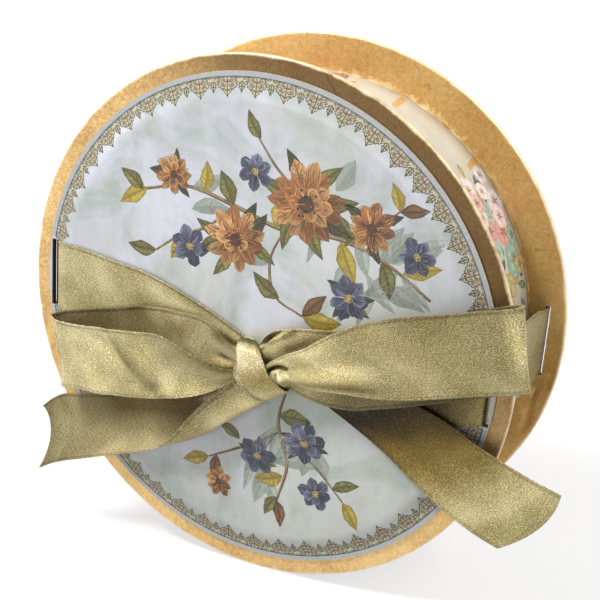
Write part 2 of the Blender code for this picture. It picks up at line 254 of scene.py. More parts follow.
def gold_paper(name, dark, mid, pale, streaks, flecks, painted_shade, shade_way, seam=0.0):
    """Metallic paper over chipboard: mottled gold with dark flecks of grain and pale flecks that are
    painted glints, painted shade that darkens it towards one side, thin wrinkles whose creases are
    darkened with painted shade, pale edges that are partly rubbed and partly a painted highlight,
    and a bright ragged ring where a drum of the seam's radius meets it: the paper's torn edge, with a
    painted highlight strongest on the upper part of the board's front."""
    made = Finish(name, 0.42, 0.45, Specular_IOR_Level=0.25)
    place = made.add("TexCoord", "Object")
    level, reach = from_axis(made, place)
    height = made.parts(level)["Z"]
    patches = made.cloud(place, Scale=22, Detail=4, Roughness=0.6)
    fine = made.cloud(place, Scale=520, Detail=5, Roughness=0.75)
    gold = made.ramp(made.between(streaks, patches, fine), (0.3, dark), (0.52, mid), (0.75, pale))

    # Dark flecks are the foil's grain; the pale flecks are painted glints. Both are fewer towards the bottom.
    calm = made.spread(height, -0.11, 0.02, 0.2 * flecks, flecks)
    cell = made.cells(place, 2100)
    gold = made.mixed(made.spread(cell["X"], 0.55, 1.0, top=calm), gold, tint(112, 70, 30))
    gold = made.mixed(made.spread(cell["Y"], 0.7, 1.0, top=calm), gold, tint(250, 220, 164))

    # Painted shade: the paper is darkened towards one side, to a dark brown.
    way = made.vectors("DOT_PRODUCT", level, shade_way, output="Value")
    shade = made.maths("MULTIPLY_ADD", patches, 0.1, way)
    gold = made.mixed(made.spread(shade, 0.055, 0.17, top=painted_shade, curve="SMOOTHSTEP"), gold, tint(72, 43, 10))

    # Wrinkles, with painted shade darkening their creases.
    folds = made.cloud(place, Scale=11, Detail=3, Distortion=1.4)
    near = made.maths("ABSOLUTE", made.maths("SUBTRACT", folds, 0.5))
    fold = made.maths("MULTIPLY", made.spread(near, 0, 0.007, 1.0, 0.0), made.spread(patches, 0.53, 0.6))
    gold = made.mixed(made.maths("MULTIPLY", fold, 0.55), gold, tint(112, 76, 38))

    # The paper's torn edge round the drum, brightened by a painted highlight, most on the upper front.
    torn = made.cloud(place, Scale=230, Detail=5, Roughness=0.7)
    ragged = made.maths("MULTIPLY_ADD", torn, 0.014, reach)
    front = made.spread(made.parts(place)["Y"], 0.0, -0.001, top=made.spread(height, 0.04, 0.09, 0.2))
    lit = made.maths("MULTIPLY", front, made.spread(patches, 0.4, 0.6, 0.3))
    gold = made.mixed(made.spread(ragged, seam + 0.0093, seam + 0.0075, top=lit), gold, tint(255, 240, 188))

    # Pale edges: partly rubbed wear, partly a painted highlight along the board's rim.
    rub_and_shine = made.cloud(place, Scale=90, Detail=4, Roughness=0.65)
    wobble = made.maths("MULTIPLY_ADD", rub_and_shine, 0.0032, reach)
    rim = made.spread(wobble, BOARD_RADIUS + 0.0005, BOARD_RADIUS + 0.0019, top=0.95)
    gold = made.mixed(rim, gold, tint(252, 230, 186))

    made.dress(Base_Color=gold, Roughness=made.spread(fine, 0, 1, 0.28, 0.5))
    wrinkle = made.cloud(place, Scale=150, Detail=3, Roughness=0.5, Distortion=1.5)
    made.bumped(made.maths("SUBTRACT", made.between(0.45, fine, wrinkle), fold), 0.5, 0.0005)
    return made.material


def at(right, up, forward):
    """A point given in the box's axes: right and up from its centre, and forward out of the lid."""
    return Vector((right, -forward, BOARD_RADIUS + up))


def rolled(right, up, forward=0.0):
    """A point given in the ribbon's axes, which are rolled a little with the box."""
    turn = Vector((right, up)).to_2d()
    x = turn.x * math.cos(ROLL) - turn.y * math.sin(ROLL)
    y = turn.x * math.sin(ROLL) + turn.y * math.cos(ROLL)
    return at(x, y, forward)


def focus(piece):
    """Selects one piece alone."""
    deselect()
    piece.select_set(True)
    bpy.context.view_layer.objects.active = piece


def settled(piece, name, material):
    """Names a modelled piece, gives it its material and puts its place into its mesh."""
    focus(piece)
    piece.name = name
    piece.data.name = name
    bpy.ops.object.transform_apply(location=True, rotation=True, scale=True)
    piece.data.materials.clear()
    piece.data.materials.append(material)
    return piece


def round_start(name, radius, middle, depth, material, ends="NGON"):
    """A disc or tube across the box's axis, to be shaped further."""
    deselect()
    bpy.ops.mesh.primitive_cylinder_add(vertices=ROUND, radius=radius, depth=depth, end_fill_type=ends,
                                        location=at(0, 0, middle), rotation=(math.pi / 2, 0, 0))
    return settled(bpy.context.object, name, material)


def apply_all(piece):
    """Applies a piece's modifiers in order."""
    focus(piece)
    for modifier in list(piece.modifiers):
        bpy.ops.object.modifier_apply(modifier=modifier.name)


def round_edges(piece, width, segments):
    """Gives a piece's sharp edges a bevel, still to be applied."""
    edge = piece.modifiers.new("rounded_edge", "BEVEL")
    edge.width = width
    edge.segments = segments
    edge.limit_method = "ANGLE"
    edge.angle_limit = SHARP


def smoothed(piece, angle=math.radians(35)):
    """Shades a piece smooth, apart from its sharp edges."""
    focus(piece)
    bpy.ops.object.shade_smooth_by_angle(angle=angle)


def belongs(piece, body, slot, *stands_for):
    """Ties a finished piece to its body, and hides the CAD node that it stands for. The slot is not used."""
    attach(piece, body)
    if stands_for:
        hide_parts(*stands_for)


def cut_slits(piece, reach, forward, depth, width=SLIT_WIDTH):
    """Cuts the two ribbon slits through a piece, and shows the raw board in them, painted dark for their
    shade.
    """
    for sign in (-1, 1):
        deselect()
        bpy.ops.mesh.primitive_cube_add(size=1)
        punch = bpy.context.object
        punch.data.materials.append(slit_board_in_shade)
        punch.scale = (width, depth, SLIT_LENGTH)
        punch.location = rolled(sign * reach, 0, forward)
        punch.rotation_euler = (0, -ROLL, 0)
        focus(piece)
        slot = piece.modifiers.new("slit", "BOOLEAN")
        slot.operation = "DIFFERENCE"
        slot.material_mode = "TRANSFER"
        slot.object = punch
        bpy.ops.object.modifier_apply(modifier=slot.name)
        bpy.data.objects.remove(punch)


def gold_board(name, middle, slit, slit_width, material):
    """One board: a thick disc with rounded edges whose face is ringed, so that it can be creased."""
    board = round_start(name, BOARD_RADIUS, middle, BOARD_THICKNESS, material)
    bpy.ops.object.mode_set(mode="EDIT")
    bpy.ops.mesh.select_mode(type="FACE")
    for side in (-1, 1):
        bpy.ops.mesh.select_all(action="DESELECT")
        shape = bmesh.from_edit_mesh(board.data)
        for face in shape.faces:
            face.select = face.normal.y * side > 0.9
        bmesh.update_edit_mesh(board.data)
        for step in FACE_RINGS:
            bpy.ops.mesh.inset(thickness=step, depth=0)
    bpy.ops.object.mode_set(mode="OBJECT")
    round_edges(board, 0.0005, 3)
    apply_all(board)
    cut_slits(board, slit, middle, 0.02, slit_width)
    return board


def crease(piece, start, end, depth, width):
    """Presses a short soft crease into a piece's paper, along a line in the ribbon's axes."""
    a, b = rolled(*start), rolled(*end)
    along = (b - a) * Vector((1, 0, 1))
    for vertex in piece.data.vertices:
        off = (vertex.co - a) * Vector((1, 0, 1))
        share = max(0, min(1, off.dot(along) / along.length_squared))
        away = (off - along * share).length
        if away < 3 * width:
            vertex.co.y += depth * math.exp(-((away / width) ** 2))


def sizes_of(name):
    """A turned node's outer radius, and where it starts and ends forward."""
    low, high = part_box(name)
    return (high[2] - low[2]) / 2, -high[1], -low[1]


FACE_RINGS = [0.0012, 0.0015, 0.0015, 0.0015, 0.0018, 0.003, 0.004, 0.005]
LID_CREASES = (((-LID_SLIT, 0.017), (-0.125, 0.021), 0.0006, 0.0008),
               ((-LID_SLIT, -0.017), (-0.125, -0.022), 0.0006, 0.0008),
               ((-0.062, -0.104), (-0.066, -0.109), 0.0008, 0.0009))
BACK_CREASES = (((0.1154, -0.017), (0.112, -0.046), 0.0009, 0.0008),
                ((0.1175, 0.009), (0.124, 0.012), 0.0005, 0.0008),
                ((0.1172, -0.004), (0.1245, -0.003), 0.0005, 0.0008),
                ((0.116, -0.018), (0.1215, -0.02), 0.0006, 0.0008),
                ((0.1154, 0.018), (0.1235, 0.027), 0.0006, 0.0008))
# The board's raw core in the slits: brown chipboard, painted darker for the shade inside them.
slit_board_in_shade = Finish("slit_core_in_shade", 0.9, Base_Color=tint(74, 58, 42)).material
lid_gold = gold_paper("lid_gold_paper", tint(168, 126, 72), tint(232, 194, 130), tint(252, 224, 170), 0.5,
                      0.45, 0.87, (0.75, 0, 0.85))
back_gold = gold_paper("back_gold_paper", tint(188, 140, 72), tint(222, 180, 112), tint(246, 214, 154), 0.42,
                       0.24, 0.02, (0.8, 0, -0.5), sizes_of("drum_wrap")[0])
for name, middle, slit, slit_width, gold, creases, body in (
    ("lid", LID_FACE - BOARD_THICKNESS / 2, LID_SLIT, SLIT_WIDTH, lid_gold, LID_CREASES, "lid"),
    ("back", 0, BACK_SLIT, BACK_SLIT_WIDTH, back_gold, BACK_CREASES, "base"),
):
    board = gold_board(f"{name}_gold_board", middle, slit, slit_width, gold)
    for line in creases:
        crease(board, *line)
    smoothed(board)
    belongs(board, body, "gold_board", f"{name}_board")


# The drum: a tube of grey chipboard glued to the back board, wrapped outside in printed
# paper and lined with plain white paper. Its open end shows once the lid is off.
def paper(name, shade, pale, roughness, grain=0.2):
    """Plain paper or chipboard: a soft mottled colour with a fine fibre grain."""
    made = Finish(name, roughness)
    place = made.add("TexCoord", "Object")
    mottle = made.cloud(place, Scale=35, Detail=6, Roughness=0.7)
    made.dress(Base_Color=made.ramp(mottle, (0.3, shade), (0.7, pale)))
    made.bumped(made.cloud(place, Scale=900, Detail=4), grain, 0.0002)
    return made.material


def tube(name, radius, wall, start, end, material):
    """A plain tube along the box's axis, its wall inwards from the radius."""
    made = round_start(name, radius, (start + end) / 2, end - start, material, "NOTHING")
    shell = made.modifiers.new("wall", "SOLIDIFY")
    shell.thickness = wall
    shell.offset = -1
    round_edges(made, wall * 0.2, 2)
    apply_all(made)
    smoothed(made)
    return made


def flat_disc(name, radius, start, end, material):
    """A thin flat disc across the box's axis."""
    made = round_start(name, radius, (start + end) / 2, end - start, material)
    smoothed(made)
    return made


PAPER = 0.0005
WALL = 0.002
wrap_paper = paper("wrap_ground", tint(196, 188, 170), tint(216, 209, 192), 0.5, 0.12)
grey_board = paper("grey_chipboard", tint(128, 120, 106), tint(156, 148, 134), 0.9, 0.5)
white_paper = paper("white_lining", tint(226, 222, 212), tint(240, 237, 230), 0.7)
for name, wall, material, body, slot in (
    ("drum_wrap", PAPER, wrap_paper, "base", "wrap_paper"),
    ("drum_wall", WALL, grey_board, "base", "grey_board"),
    ("wall_lining", PAPER, white_paper, "base", "lining_paper"),
    ("lid_neck", WALL, grey_board, "lid", "grey_board"),
):
    radius, start, end = sizes_of(name)
    belongs(tube(f"{name}_tube", radius, wall, start, end, material), body, slot, name)
for name, body in (("base_lining", "base"), ("lid_lining", "lid")):
    belongs(flat_disc(f"{name}_disc", *sizes_of(name), white_paper), body, "lining_paper", name)


# The drum's printed paper: dense clusters of white and pink blossoms with mint leaves, and a few
# short gold bars across the bare paper between them. The board's gold paper laps its foot.
DRUM_RADIUS, DRUM_START = sizes_of("drum_wrap")[:2]
DRUM_INK_LIFT = 0.00006
LAYER = 0.00001
HAIR = 0.000001


class Print:
    """Flat shapes that carry their own colours, on one surface. Place turns (across, along, lift)
    into a point, and kept says whether a point may be printed on. Layers of ink lie a LAYER apart,
    and the strokes of one layer a HAIR."""

    def __init__(self, place, kept=lambda x, y: True):
        self.place, self.kept = place, kept
        self.points, self.faces, self.colours = [], [], []

    def add(self, points, colours, faces, lift):
        """Faces between coloured points; a face is left out where the surface isn't printed on."""
        start = len(self.points)
        self.points += [self.place(x, y, lift) for x, y in points]
        self.colours += colours
        for face in faces:
            if all(self.kept(*points[i]) for i in face):
                self.faces.append(tuple(start + i for i in face))

    def shape(self, outline, middle, edge, lift, centre=None):
        """A filled outline that shades from its middle to its edge, through one ring between."""
        count = len(outline)
        cx = sum(x for x, _ in outline) / count
        cy = sum(y for _, y in outline) / count
        cx, cy = centre or (cx, cy)
        half = [(cx + (x - cx) * 0.55, cy + (y - cy) * 0.55) for x, y in outline]
        between = tuple((a + b) / 2 for a, b in zip(middle, edge))
        faces = []
        for i in range(count):
            j = (i + 1) % count
            faces += [(0, 1 + i, 1 + j), (1 + i, 1 + count + i, 1 + count + j, 1 + j)]
        self.add([(cx, cy), *half, *outline], [middle] + [between] * count + [edge] * count, faces, lift)

    def line(self, points, width, colour, lift, taper=0.25):
        """A drawn line along points, that thins towards its ends."""
        sides, colours = [], []
        last = len(points) - 1
        for i, (x, y) in enumerate(points):
            ax, ay = points[max(i - 1, 0)]
            bx, by = points[min(i + 1, last)]
            length = math.hypot(bx - ax, by - ay) or 1
            share = i / last
            wide = width / 2 * (taper + (1 - taper) * math.sin(math.pi * min(max(share, 0.08), 0.92)))
            nx, ny = -(by - ay) / length * wide, (bx - ax) / length * wide
            sides += [(x + nx, y + ny), (x - nx, y - ny)]
            colours += [colour, colour]
        faces = [(2 * i, 2 * i + 1, 2 * i + 3, 2 * i + 2) for i in range(last)]
        self.add(sides, colours, faces, lift)

    def made(self, name, material):
        """The print as one piece, facing out of its surface. Ink is flat, so it casts no shadow."""
        mesh = bpy.data.meshes.new(name)
        mesh.from_pydata(self.points, [], self.faces)
        paint = mesh.color_attributes.new("paint", "FLOAT_COLOR", "POINT")
        for spot, colour in zip(paint.data, self.colours):
            spot.color = colour
        piece = bpy.data.objects.new(name, mesh)
        bpy.context.scene.collection.objects.link(piece)
        mesh.materials.append(material)
        piece.visible_shadow = False
        return piece


def ink(name, roughness, grain_scale, grain_amount):
    """Printed ink: the mesh's own colour, broken up by a fine watery grain."""
    made = Finish(name, roughness)
    paint = made.add("Attribute", "Color", {"attribute_name": "paint"})
    grain = made.cloud(made.add("TexCoord", "Object"), Scale=grain_scale, Detail=6, Roughness=0.75)
    level = made.spread(grain, 0.25, 0.75, 1 - grain_amount, 1 + grain_amount)
    made.dress(Base_Color=made.scaled(paint, level))
    return made.material


def mixed_tone(first, second, amount):
    """A colour or tone between two."""
    return tuple(a + (b - a) * amount for a, b in zip(first, second))


def arc_points(cx, cy, radius, start, end, count):
    """Points along an arc, its angles in degrees."""
    steps = [math.radians(start + (end - start) * i / (count - 1)) for i in range(count)]
    return [(cx + radius * math.cos(a), cy + radius * math.sin(a)) for a in steps]


def petal_outline(x, y, angle, length, width, bluntness=0.5, count=8):
    """A petal or leaf from its foot at x, y: widest past its middle where it is blunt."""
    cos, sin = math.cos(angle), math.sin(angle)
    right, left = [], []
    for i in range(count + 1):
        share = i / count
        half = width / 2 * math.sin(math.pi * share ** (1 + bluntness)) ** 0.8
        right.append((share * length, half))
        left.append((share * length, -half))
    ring = right + left[-2:0:-1]
    return [(x + u * cos - v * sin, y + u * sin + v * cos) for u, v in ring]


def on_drum(across, along, lift):
    """A point on the drum: across in metres round it from the top, clockwise, along it forward."""
    angle = math.pi / 2 - across / DRUM_RADIUS
    reach = DRUM_RADIUS + DRUM_INK_LIFT + lift
    return at(reach * math.cos(angle), reach * math.sin(angle), along)


drum_print = Print(on_drum)
dice = random.Random(4)
BLOSSOMS = (((tint(255, 250, 244), tint(236, 208, 202)), (tint(255, 252, 246), tint(204, 194, 194)),
             (tint(250, 234, 226), tint(224, 160, 150))),
            ((tint(255, 250, 244), tint(232, 196, 190)), (tint(242, 204, 194), tint(214, 140, 130)),
             (tint(255, 248, 240), tint(206, 186, 182))),
            ((tint(216, 232, 214), tint(160, 192, 168)), (tint(246, 222, 212), tint(212, 142, 132)),
             (tint(200, 220, 198), tint(132, 166, 142))),
            ((tint(232, 218, 160), tint(174, 152, 94)), (tint(206, 160, 146), tint(140, 92, 84))))
DRUM_LEAVES = ((tint(186, 212, 186), tint(122, 160, 130)), (tint(150, 170, 116), tint(84, 102, 76)),
               (tint(112, 104, 108), tint(62, 56, 62)), (tint(214, 190, 108), tint(150, 124, 66)))
HEART_YELLOW = tint(226, 182, 82)
STAMEN = tint(104, 56, 58)
BAR_GOLD = tint(206, 162, 96)
LAP_DARK = tint(196, 146, 74)
LAP_PALE = tint(255, 240, 192)


def blossom(sheet, x, y, size, turn, colours, lift, petals=5):
    """A small open blossom seen from above, its petals veined and edged with a brush."""
    light, edge = dice.choice(colours)
    for i in range(petals):
        angle = turn + math.tau * i / petals
        outline = petal_outline(x, y, angle, size * dice.uniform(0.85, 1.1), size * 0.95, 0.7)
        sheet.shape(outline, light, edge, lift + 0.00002 * (i % 2))
        sheet.line(outline[2:8], size * 0.05, edge, lift + 0.000025, 0.3)
        for side in (-0.2, 0.05, 0.25):
            far = (x + size * 0.85 * math.cos(angle + side), y + size * 0.85 * math.sin(angle + side))
            mid = ((x + far[0]) / 2, (y + far[1]) / 2)
            sheet.line([(x, y), mid, far], size * 0.05, edge, lift + 0.00003, 0.3)
    for i in range(6):
        angle = turn + 0.4 + math.tau * i / 6
        tip = (x + size * 0.42 * math.cos(angle), y + size * 0.42 * math.sin(angle))
        sheet.line([(x, y), tip], size * 0.07, STAMEN, lift + 0.00005, 0.6)
    sheet.shape(arc_points(x, y, size * 0.15, 0, 324, 10), HEART_YELLOW, STAMEN, lift + 0.00007)


def drum_leaf(sheet, x, y, angle, size, lift):
    """A leaf or a dark stroke between the blossoms."""
    light, edge = dice.choice(DRUM_LEAVES)
    leaf = petal_outline(x, y, angle, size, size * dice.uniform(0.3, 0.5), 0.3, 6)
    sheet.shape(leaf, light, edge, lift)
    tip = (x + size * 0.9 * math.cos(angle), y + size * 0.9 * math.sin(angle))
    sheet.line([(x, y), tip], size * 0.06, edge, lift + 0.00001, 0.4)


DRUM_ROUND = math.tau * DRUM_RADIUS
CLUSTERS = 5
CLUSTER_LEAVES = 64
CLUSTER_BLOSSOMS = 34
BLOSSOM_LAYER = 0.00012
LAP_LAYER = 0.0004
for k in range(CLUSTERS):
    middle = DRUM_ROUND * (k + 0.917) / CLUSTERS
    for i in range(CLUSTER_LEAVES):
        foot = (middle + dice.uniform(-0.031, 0.031), DRUM_START + dice.uniform(0.006, 0.058))
        drum_leaf(drum_print, *foot, dice.uniform(0, math.tau), dice.uniform(0.005, 0.011),
                  LAYER + 2 * HAIR * i)
    for i in range(CLUSTER_BLOSSOMS):
        part = i * 7 % CLUSTER_BLOSSOMS / CLUSTER_BLOSSOMS
        spot = (middle - 0.029 + 0.058 * part, DRUM_START + dice.uniform(0.006, 0.03) + 0.026 * (i % 2))
        blossom(drum_print, *spot, dice.uniform(0.005, 0.0078), dice.uniform(0, 1), BLOSSOMS[int(4 * part)],
                BLOSSOM_LAYER + LAYER * i)
    for back, foot, end in ((0.0787, 0.003, 0.018), (0.035, 0.0, 0.013)):
        bar = middle - back
        line = [(bar - 0.001 + 0.002 * t / 3, DRUM_START + foot + (end - foot) * t / 3) for t in range(4)]
        drum_print.line(line, 0.0036, BAR_GOLD, 0.00002, 0.7)
# The lap of gold paper round the drum's foot: a ragged band whose pale stretches are a painted shine.
LAP_STEPS = 420
for i in range(LAP_STEPS):
    corners, tones = [], []
    for k in (i, i + 1):
        step = k % LAP_STEPS
        ragged = noise.noise(Vector((step * 0.19, 3.1, 0))) + 0.6 * noise.noise(Vector((step * 0.7, 9, 0)))
        shine = min(max(0.5 + 0.9 * noise.noise(Vector((step * 0.4, 0, 5.5))), 0), 1)
        for along in (0, 0.0016 + 0.0014 * ragged):
            corners.append((DRUM_ROUND * k / LAP_STEPS, DRUM_START + along))
            tones.append(mixed_tone(LAP_DARK, LAP_PALE, shine))
    drum_print.add(corners, tones, [(0, 1, 3, 2)], LAP_LAYER)
belongs(drum_print.made("drum_wrap_print", ink("wrap_print_ink", 0.5, 420, 0.1)), "base", "wrap_paper")


# The picture on the lid: a pressed card over wadding, domed inside a flat rim. Its ground is
# a pale blue-grey wash, printed with a semi-gloss finish.
CARD_RADIUS, CARD_REAR, PICTURE_FACE = sizes_of("picture_card")
CARD = 0.0005
RIM_STRIP = 0.0025
SLOPE = 0.011
RISE = PICTURE_FACE - CARD_REAR - CARD
SLOPE_STEPS = 14
DOME_RINGS = 12

wash = Finish("picture_ground", 0.3, Coat_Weight=0.35, Coat_Roughness=0.16)
place = wash.add("TexCoord", "Object")
level, reach = from_axis(wash, place)
large = wash.cloud(place, Scale=16, Detail=7, Roughness=0.62, Distortion=0.9)
small = wash.cloud(place, Scale=60, Detail=6, Roughness=0.7, Distortion=0.5)
way = wash.vectors("DOT_PRODUCT", level, (1.6, 0, -1.3), output="Value")
dabs = wash.maths("MULTIPLY_ADD", small, 0.5, wash.maths("MULTIPLY_ADD", large, 1.1, way))
blue = wash.ramp(dabs, (0.5, tint(218, 220, 231)), (0.7, tint(210, 212, 220)), (0.88, tint(205, 207, 205)),
                 (1.0, tint(206, 209, 202)))
veil = wash.cloud(place, {"noise_dimensions": "4D"}, W=3.7, Scale=19, Detail=6, Roughness=0.6, Distortion=1.4)
ground = wash.mixed(wash.spread(veil, 0.5, 0.66, top=0.8), blue, tint(166, 179, 164))
slanted = wash.add("Mapping", "Vector", Vector=place, Rotation=(0, 0.7, 0), Scale=(1, 1, 0.3))
swept = wash.cloud(slanted, Scale=70, Detail=6, Roughness=0.65, Distortion=0.6)
stroke = wash.spread(swept, 0.3, 0.7, 0.9, 1.07)
# The wash is a little lighter in the middle and darker towards the rim.
darker_to_rim = wash.spread(reach, 0.07, 0.112, 1.06, 0.92)
wash.dress(Base_Color=wash.scaled(ground, wash.maths("MULTIPLY", stroke, darker_to_rim)))
wash.bumped(wash.cloud(place, Scale=300, Detail=3), 0.05, 0.0002)

deselect()
bpy.ops.mesh.primitive_circle_add(vertices=ROUND, radius=CARD_RADIUS, fill_type="NGON",
                                  location=at(0, 0, CARD_REAR + CARD), rotation=(math.pi / 2, 0, 0))
picture = settled(bpy.context.object, "picture_panel", wash.material)
bpy.ops.object.mode_set(mode="EDIT")
bpy.ops.mesh.select_mode(type="FACE")
bpy.ops.mesh.select_all(action="SELECT")
bpy.ops.mesh.inset(thickness=RIM_STRIP, depth=0)
for i in range(SLOPE_STEPS):
    before = (1 - math.cos(math.pi * i / SLOPE_STEPS)) / 2
    after = (1 - math.cos(math.pi * (i + 1) / SLOPE_STEPS)) / 2
    bpy.ops.mesh.inset(thickness=SLOPE / SLOPE_STEPS, depth=RISE * (after - before))
for i in range(DOME_RINGS):
    bpy.ops.mesh.inset(thickness=0.008, depth=0)
bpy.ops.object.mode_set(mode="OBJECT")
shell = picture.modifiers.new("card", "SOLIDIFY")
shell.thickness = CARD
shell.offset = -1
apply_all(picture)
cut_slits(picture, LID_SLIT, LID_FACE, 0.03)
smoothed(picture)
belongs(picture, "lid", "picture_paper", "picture_card")

pad = flat_disc("picture_wadding", *sizes_of("picture_pad"), white_paper)
belongs(pad, "lid", "wadding", "picture_pad")


# The border printed round the picture: a fine dark line, a blue-grey rim strip, and a lace of
# filigree points with a small pendant hanging between each pair.
DOME_RADIUS = CARD_RADIUS - RIM_STRIP
INK_LIFT = 0.00005


def picture_height(reach):
    """How far forward the card's face is at a distance from its centre."""
    share = min(max((DOME_RADIUS - reach) / SLOPE, 0), 1)
    return CARD_REAR + CARD + RISE * (1 - math.cos(math.pi * share)) / 2


def on_picture(right, up, lift):
    """A point on the picture, in the rolled axes."""
    return rolled(right, up, picture_height(math.hypot(right, up)) + INK_LIFT + lift)


def border_spot(across, inward):
    """A place on the border, right and up: across in metres round it, and inwards from its dark line."""
    angle = math.radians(BORDER_START) + across / DOME_RADIUS
    reach = DOME_RADIUS - inward
    return reach * math.cos(angle), reach * math.sin(angle)


def on_border(across, inward, lift):
    """A point on the border."""
    return on_picture(*border_spot(across, inward), lift)


def off_slits(across, inward):
    """Whether a point on the border is clear of the two ribbon slits."""
    right, up = border_spot(across, inward)
    return abs(abs(right) - LID_SLIT) > SLIT_WIDTH / 2 or abs(up) > SLIT_LENGTH / 2


POINTS = 48
BORDER_START = 26.0
LACE_OLIVE = tint(88, 82, 56)
LACE_CREAM = tint(196, 192, 166)
LACE_ROSE = tint(198, 176, 154)
RIM_GREY = tint(182, 185, 188)
RIM_TAN = tint(206, 184, 146)
LINE_DARK = tint(62, 70, 66)
PITCH = math.tau * DOME_RADIUS / POINTS
MM = 0.001
HALF_POINT = [(7.52, 0.2), (7.5, 2.3), (6.4, 2.5), (5.9, 3.4), (5.0, 3.6), (4.6, 4.6), (3.6, 4.7), (3.0, 5.7),
              (2.2, 5.7), (1.7, 6.9), (0.9, 7.2), (0, 8.8)]

border = Print(on_border, off_slits)
RING_STEPS = 480
for inward, width, colour in ((-0.00115, 0.002, RIM_GREY), (-0.00232, 0.00034, RIM_TAN),
                              (0, 0.00042, LINE_DARK)):
    for i in range(RING_STEPS):
        a = math.tau * DOME_RADIUS * i / RING_STEPS
        b = math.tau * DOME_RADIUS * (i + 1) / RING_STEPS
        low, high = inward - width / 2, inward + width / 2
        border.add([(a, low), (b, low), (b, high), (a, high)], [colour] * 4, [(0, 1, 2, 3)], LAYER)


def lace_stroke(middle, points, width, lift=0.00005):
    """One stroke of the lace in millimetres, drawn on both sides of a point's middle line."""
    for side in (-1, 1):
        line = [(middle + side * x * MM, y * MM) for x, y in points]
        border.line(line, width * MM, LACE_OLIVE, lift, 0.6)


for k in range(POINTS):
    middle = PITCH * k
    outline = [(middle + x * MM, y * MM) for x, y in HALF_POINT]
    outline += [(middle - x * MM, y * MM) for x, y in HALF_POINT[-2::-1]]
    border.shape(outline, LACE_ROSE, LACE_CREAM, 0.00002, (middle, 0.003))
    lace_stroke(middle, HALF_POINT[1:], 0.5)
    for x, y, size in ((6.6, 1.3, 0.7), (4.7, 1.2, 0.8), (2.5, 1.2, 0.8), (0.9, 1.9, 0.6), (4.9, 2.9, 0.5),
                       (3.4, 3.3, 0.85), (1.5, 3.7, 0.75), (2.2, 5.1, 0.5), (0.8, 5.7, 0.55)):
        lace_stroke(middle, arc_points(x, y, size, -110 + 40 * x, 150 + 40 * x, 7), 0.42)
        lace_stroke(middle, arc_points(x, y, size * 0.3, 0, 300, 5), 0.34)
    lace_stroke(middle, [(0.1, 0.3), (0.1, 2.4), (0.1, 4.9), (0.1, 6.4), (0.1, 8.6)], 0.4)
    lace_stroke(middle, [(7.4, 0.5), (6.0, 0.6), (4.4, 0.4), (2.6, 0.5), (1.0, 0.4)], 0.36)
    lace_stroke(middle, [(5.8, 2.4), (5.2, 1.9), (4.0, 2.1), (3.6, 2.5)], 0.42)
    lace_stroke(middle, [(2.9, 4.4), (2.3, 4.2), (2.0, 2.6), (1.6, 2.2)], 0.42)
    gap = middle + PITCH / 2
    drop = [(0, 2.0), (1.1, 3.0), (0.9, 3.7), (1.6, 4.5), (0.8, 5.2), (0, 6.8)]
    outline = [(gap + x * MM, y * MM) for x, y in drop] + [(gap - x * MM, y * MM) for x, y in drop[-2:0:-1]]
    border.shape(outline, LACE_CREAM, LACE_CREAM, 0.00002)
    lace_stroke(gap, drop, 0.5)
    lace_stroke(gap, [(0.1, 2.6), (0.1, 4.0), (0.1, 6.6)], 0.45)
    lace_stroke(gap, [(0, 4.5), (0.8, 4.3), (1.3, 4.5)], 0.45)
belongs(border.made("picture_border", ink("border_ink", 0.42, 700, 0.22)), "lid", "picture_paper")


# The painting printed on the lid: a spray of rust-brown and slate-blue garden flowers with
# yellowing leaves, in the loose manner of a hand-coloured print.
def on_painting(x, y, lift):
    """A point of the painting in millimetres."""
    return on_picture(x * MM, y * MM, lift)


painting = Print(on_painting)
dice = random.Random(11)
INK_BROWN = tint(58, 40, 34)
RUST = (tint(98, 60, 36), tint(158, 104, 60), tint(204, 156, 100), tint(70, 44, 36))
SLATE = (tint(44, 46, 58), tint(74, 78, 96), tint(122, 126, 146), tint(48, 48, 60))
LEAF_YELLOW = (tint(206, 184, 84), tint(148, 126, 50))
LEAF_OLIVE = (tint(148, 142, 78), tint(84, 82, 48))
LEAF_BROWN = (tint(150, 112, 62), tint(88, 60, 40))
LEAF_DEEP = (tint(92, 90, 56), tint(52, 52, 38))
LEAF_FAINT = (tint(182, 190, 180), tint(162, 172, 160))
BRANCH = (tint(104, 78, 58), tint(166, 142, 100))
SLATE_HEARTS = (tint(196, 176, 108), tint(190, 172, 108))
RUST_HEART = tint(92, 62, 38)
BRANCH_LAYER = LAYER
TWIG_LAYER = 0.000012
LEAF_LAYER = 0.00003
SHADE_LAYER = 0.000045
BLOOM_LAYER = 0.00006


def dimmed(colour, level):
    """A colour made lighter or darker."""
    return tuple(min(part * level, 1) for part in colour[:3]) + (1.0,)


def wavering(points, amount):
    """Points moved a little, as a brush wavers."""
    return [(x + dice.uniform(-amount, amount), y + dice.uniform(-amount, amount)) for x, y in points]


def brushed(x, y, angle, length, width, tones, lift, count, bluntness):
    """Fine brush strokes that run along a petal and follow its sides, each in a tone of its own."""
    cos, sin = math.cos(angle), math.sin(angle)
    for i in range(count):
        side = dice.uniform(-0.46, 0.46)
        start, end = dice.uniform(0.05, 0.4), dice.uniform(0.6, 1.0)
        line = []
        for k in range(4):
            share = start + (end - start) * k / 3
            out = side * width * math.sin(math.pi * min(share, 0.98) ** (1 + bluntness)) ** 0.8
            line.append((x + share * length * cos - out * sin, y + share * length * sin + out * cos))
        colour = dimmed(dice.choice(tones), dice.uniform(0.7, 1.3))
        painting.line(line, dice.uniform(0.22, 0.5), colour, lift + HAIR * i, 0.3)


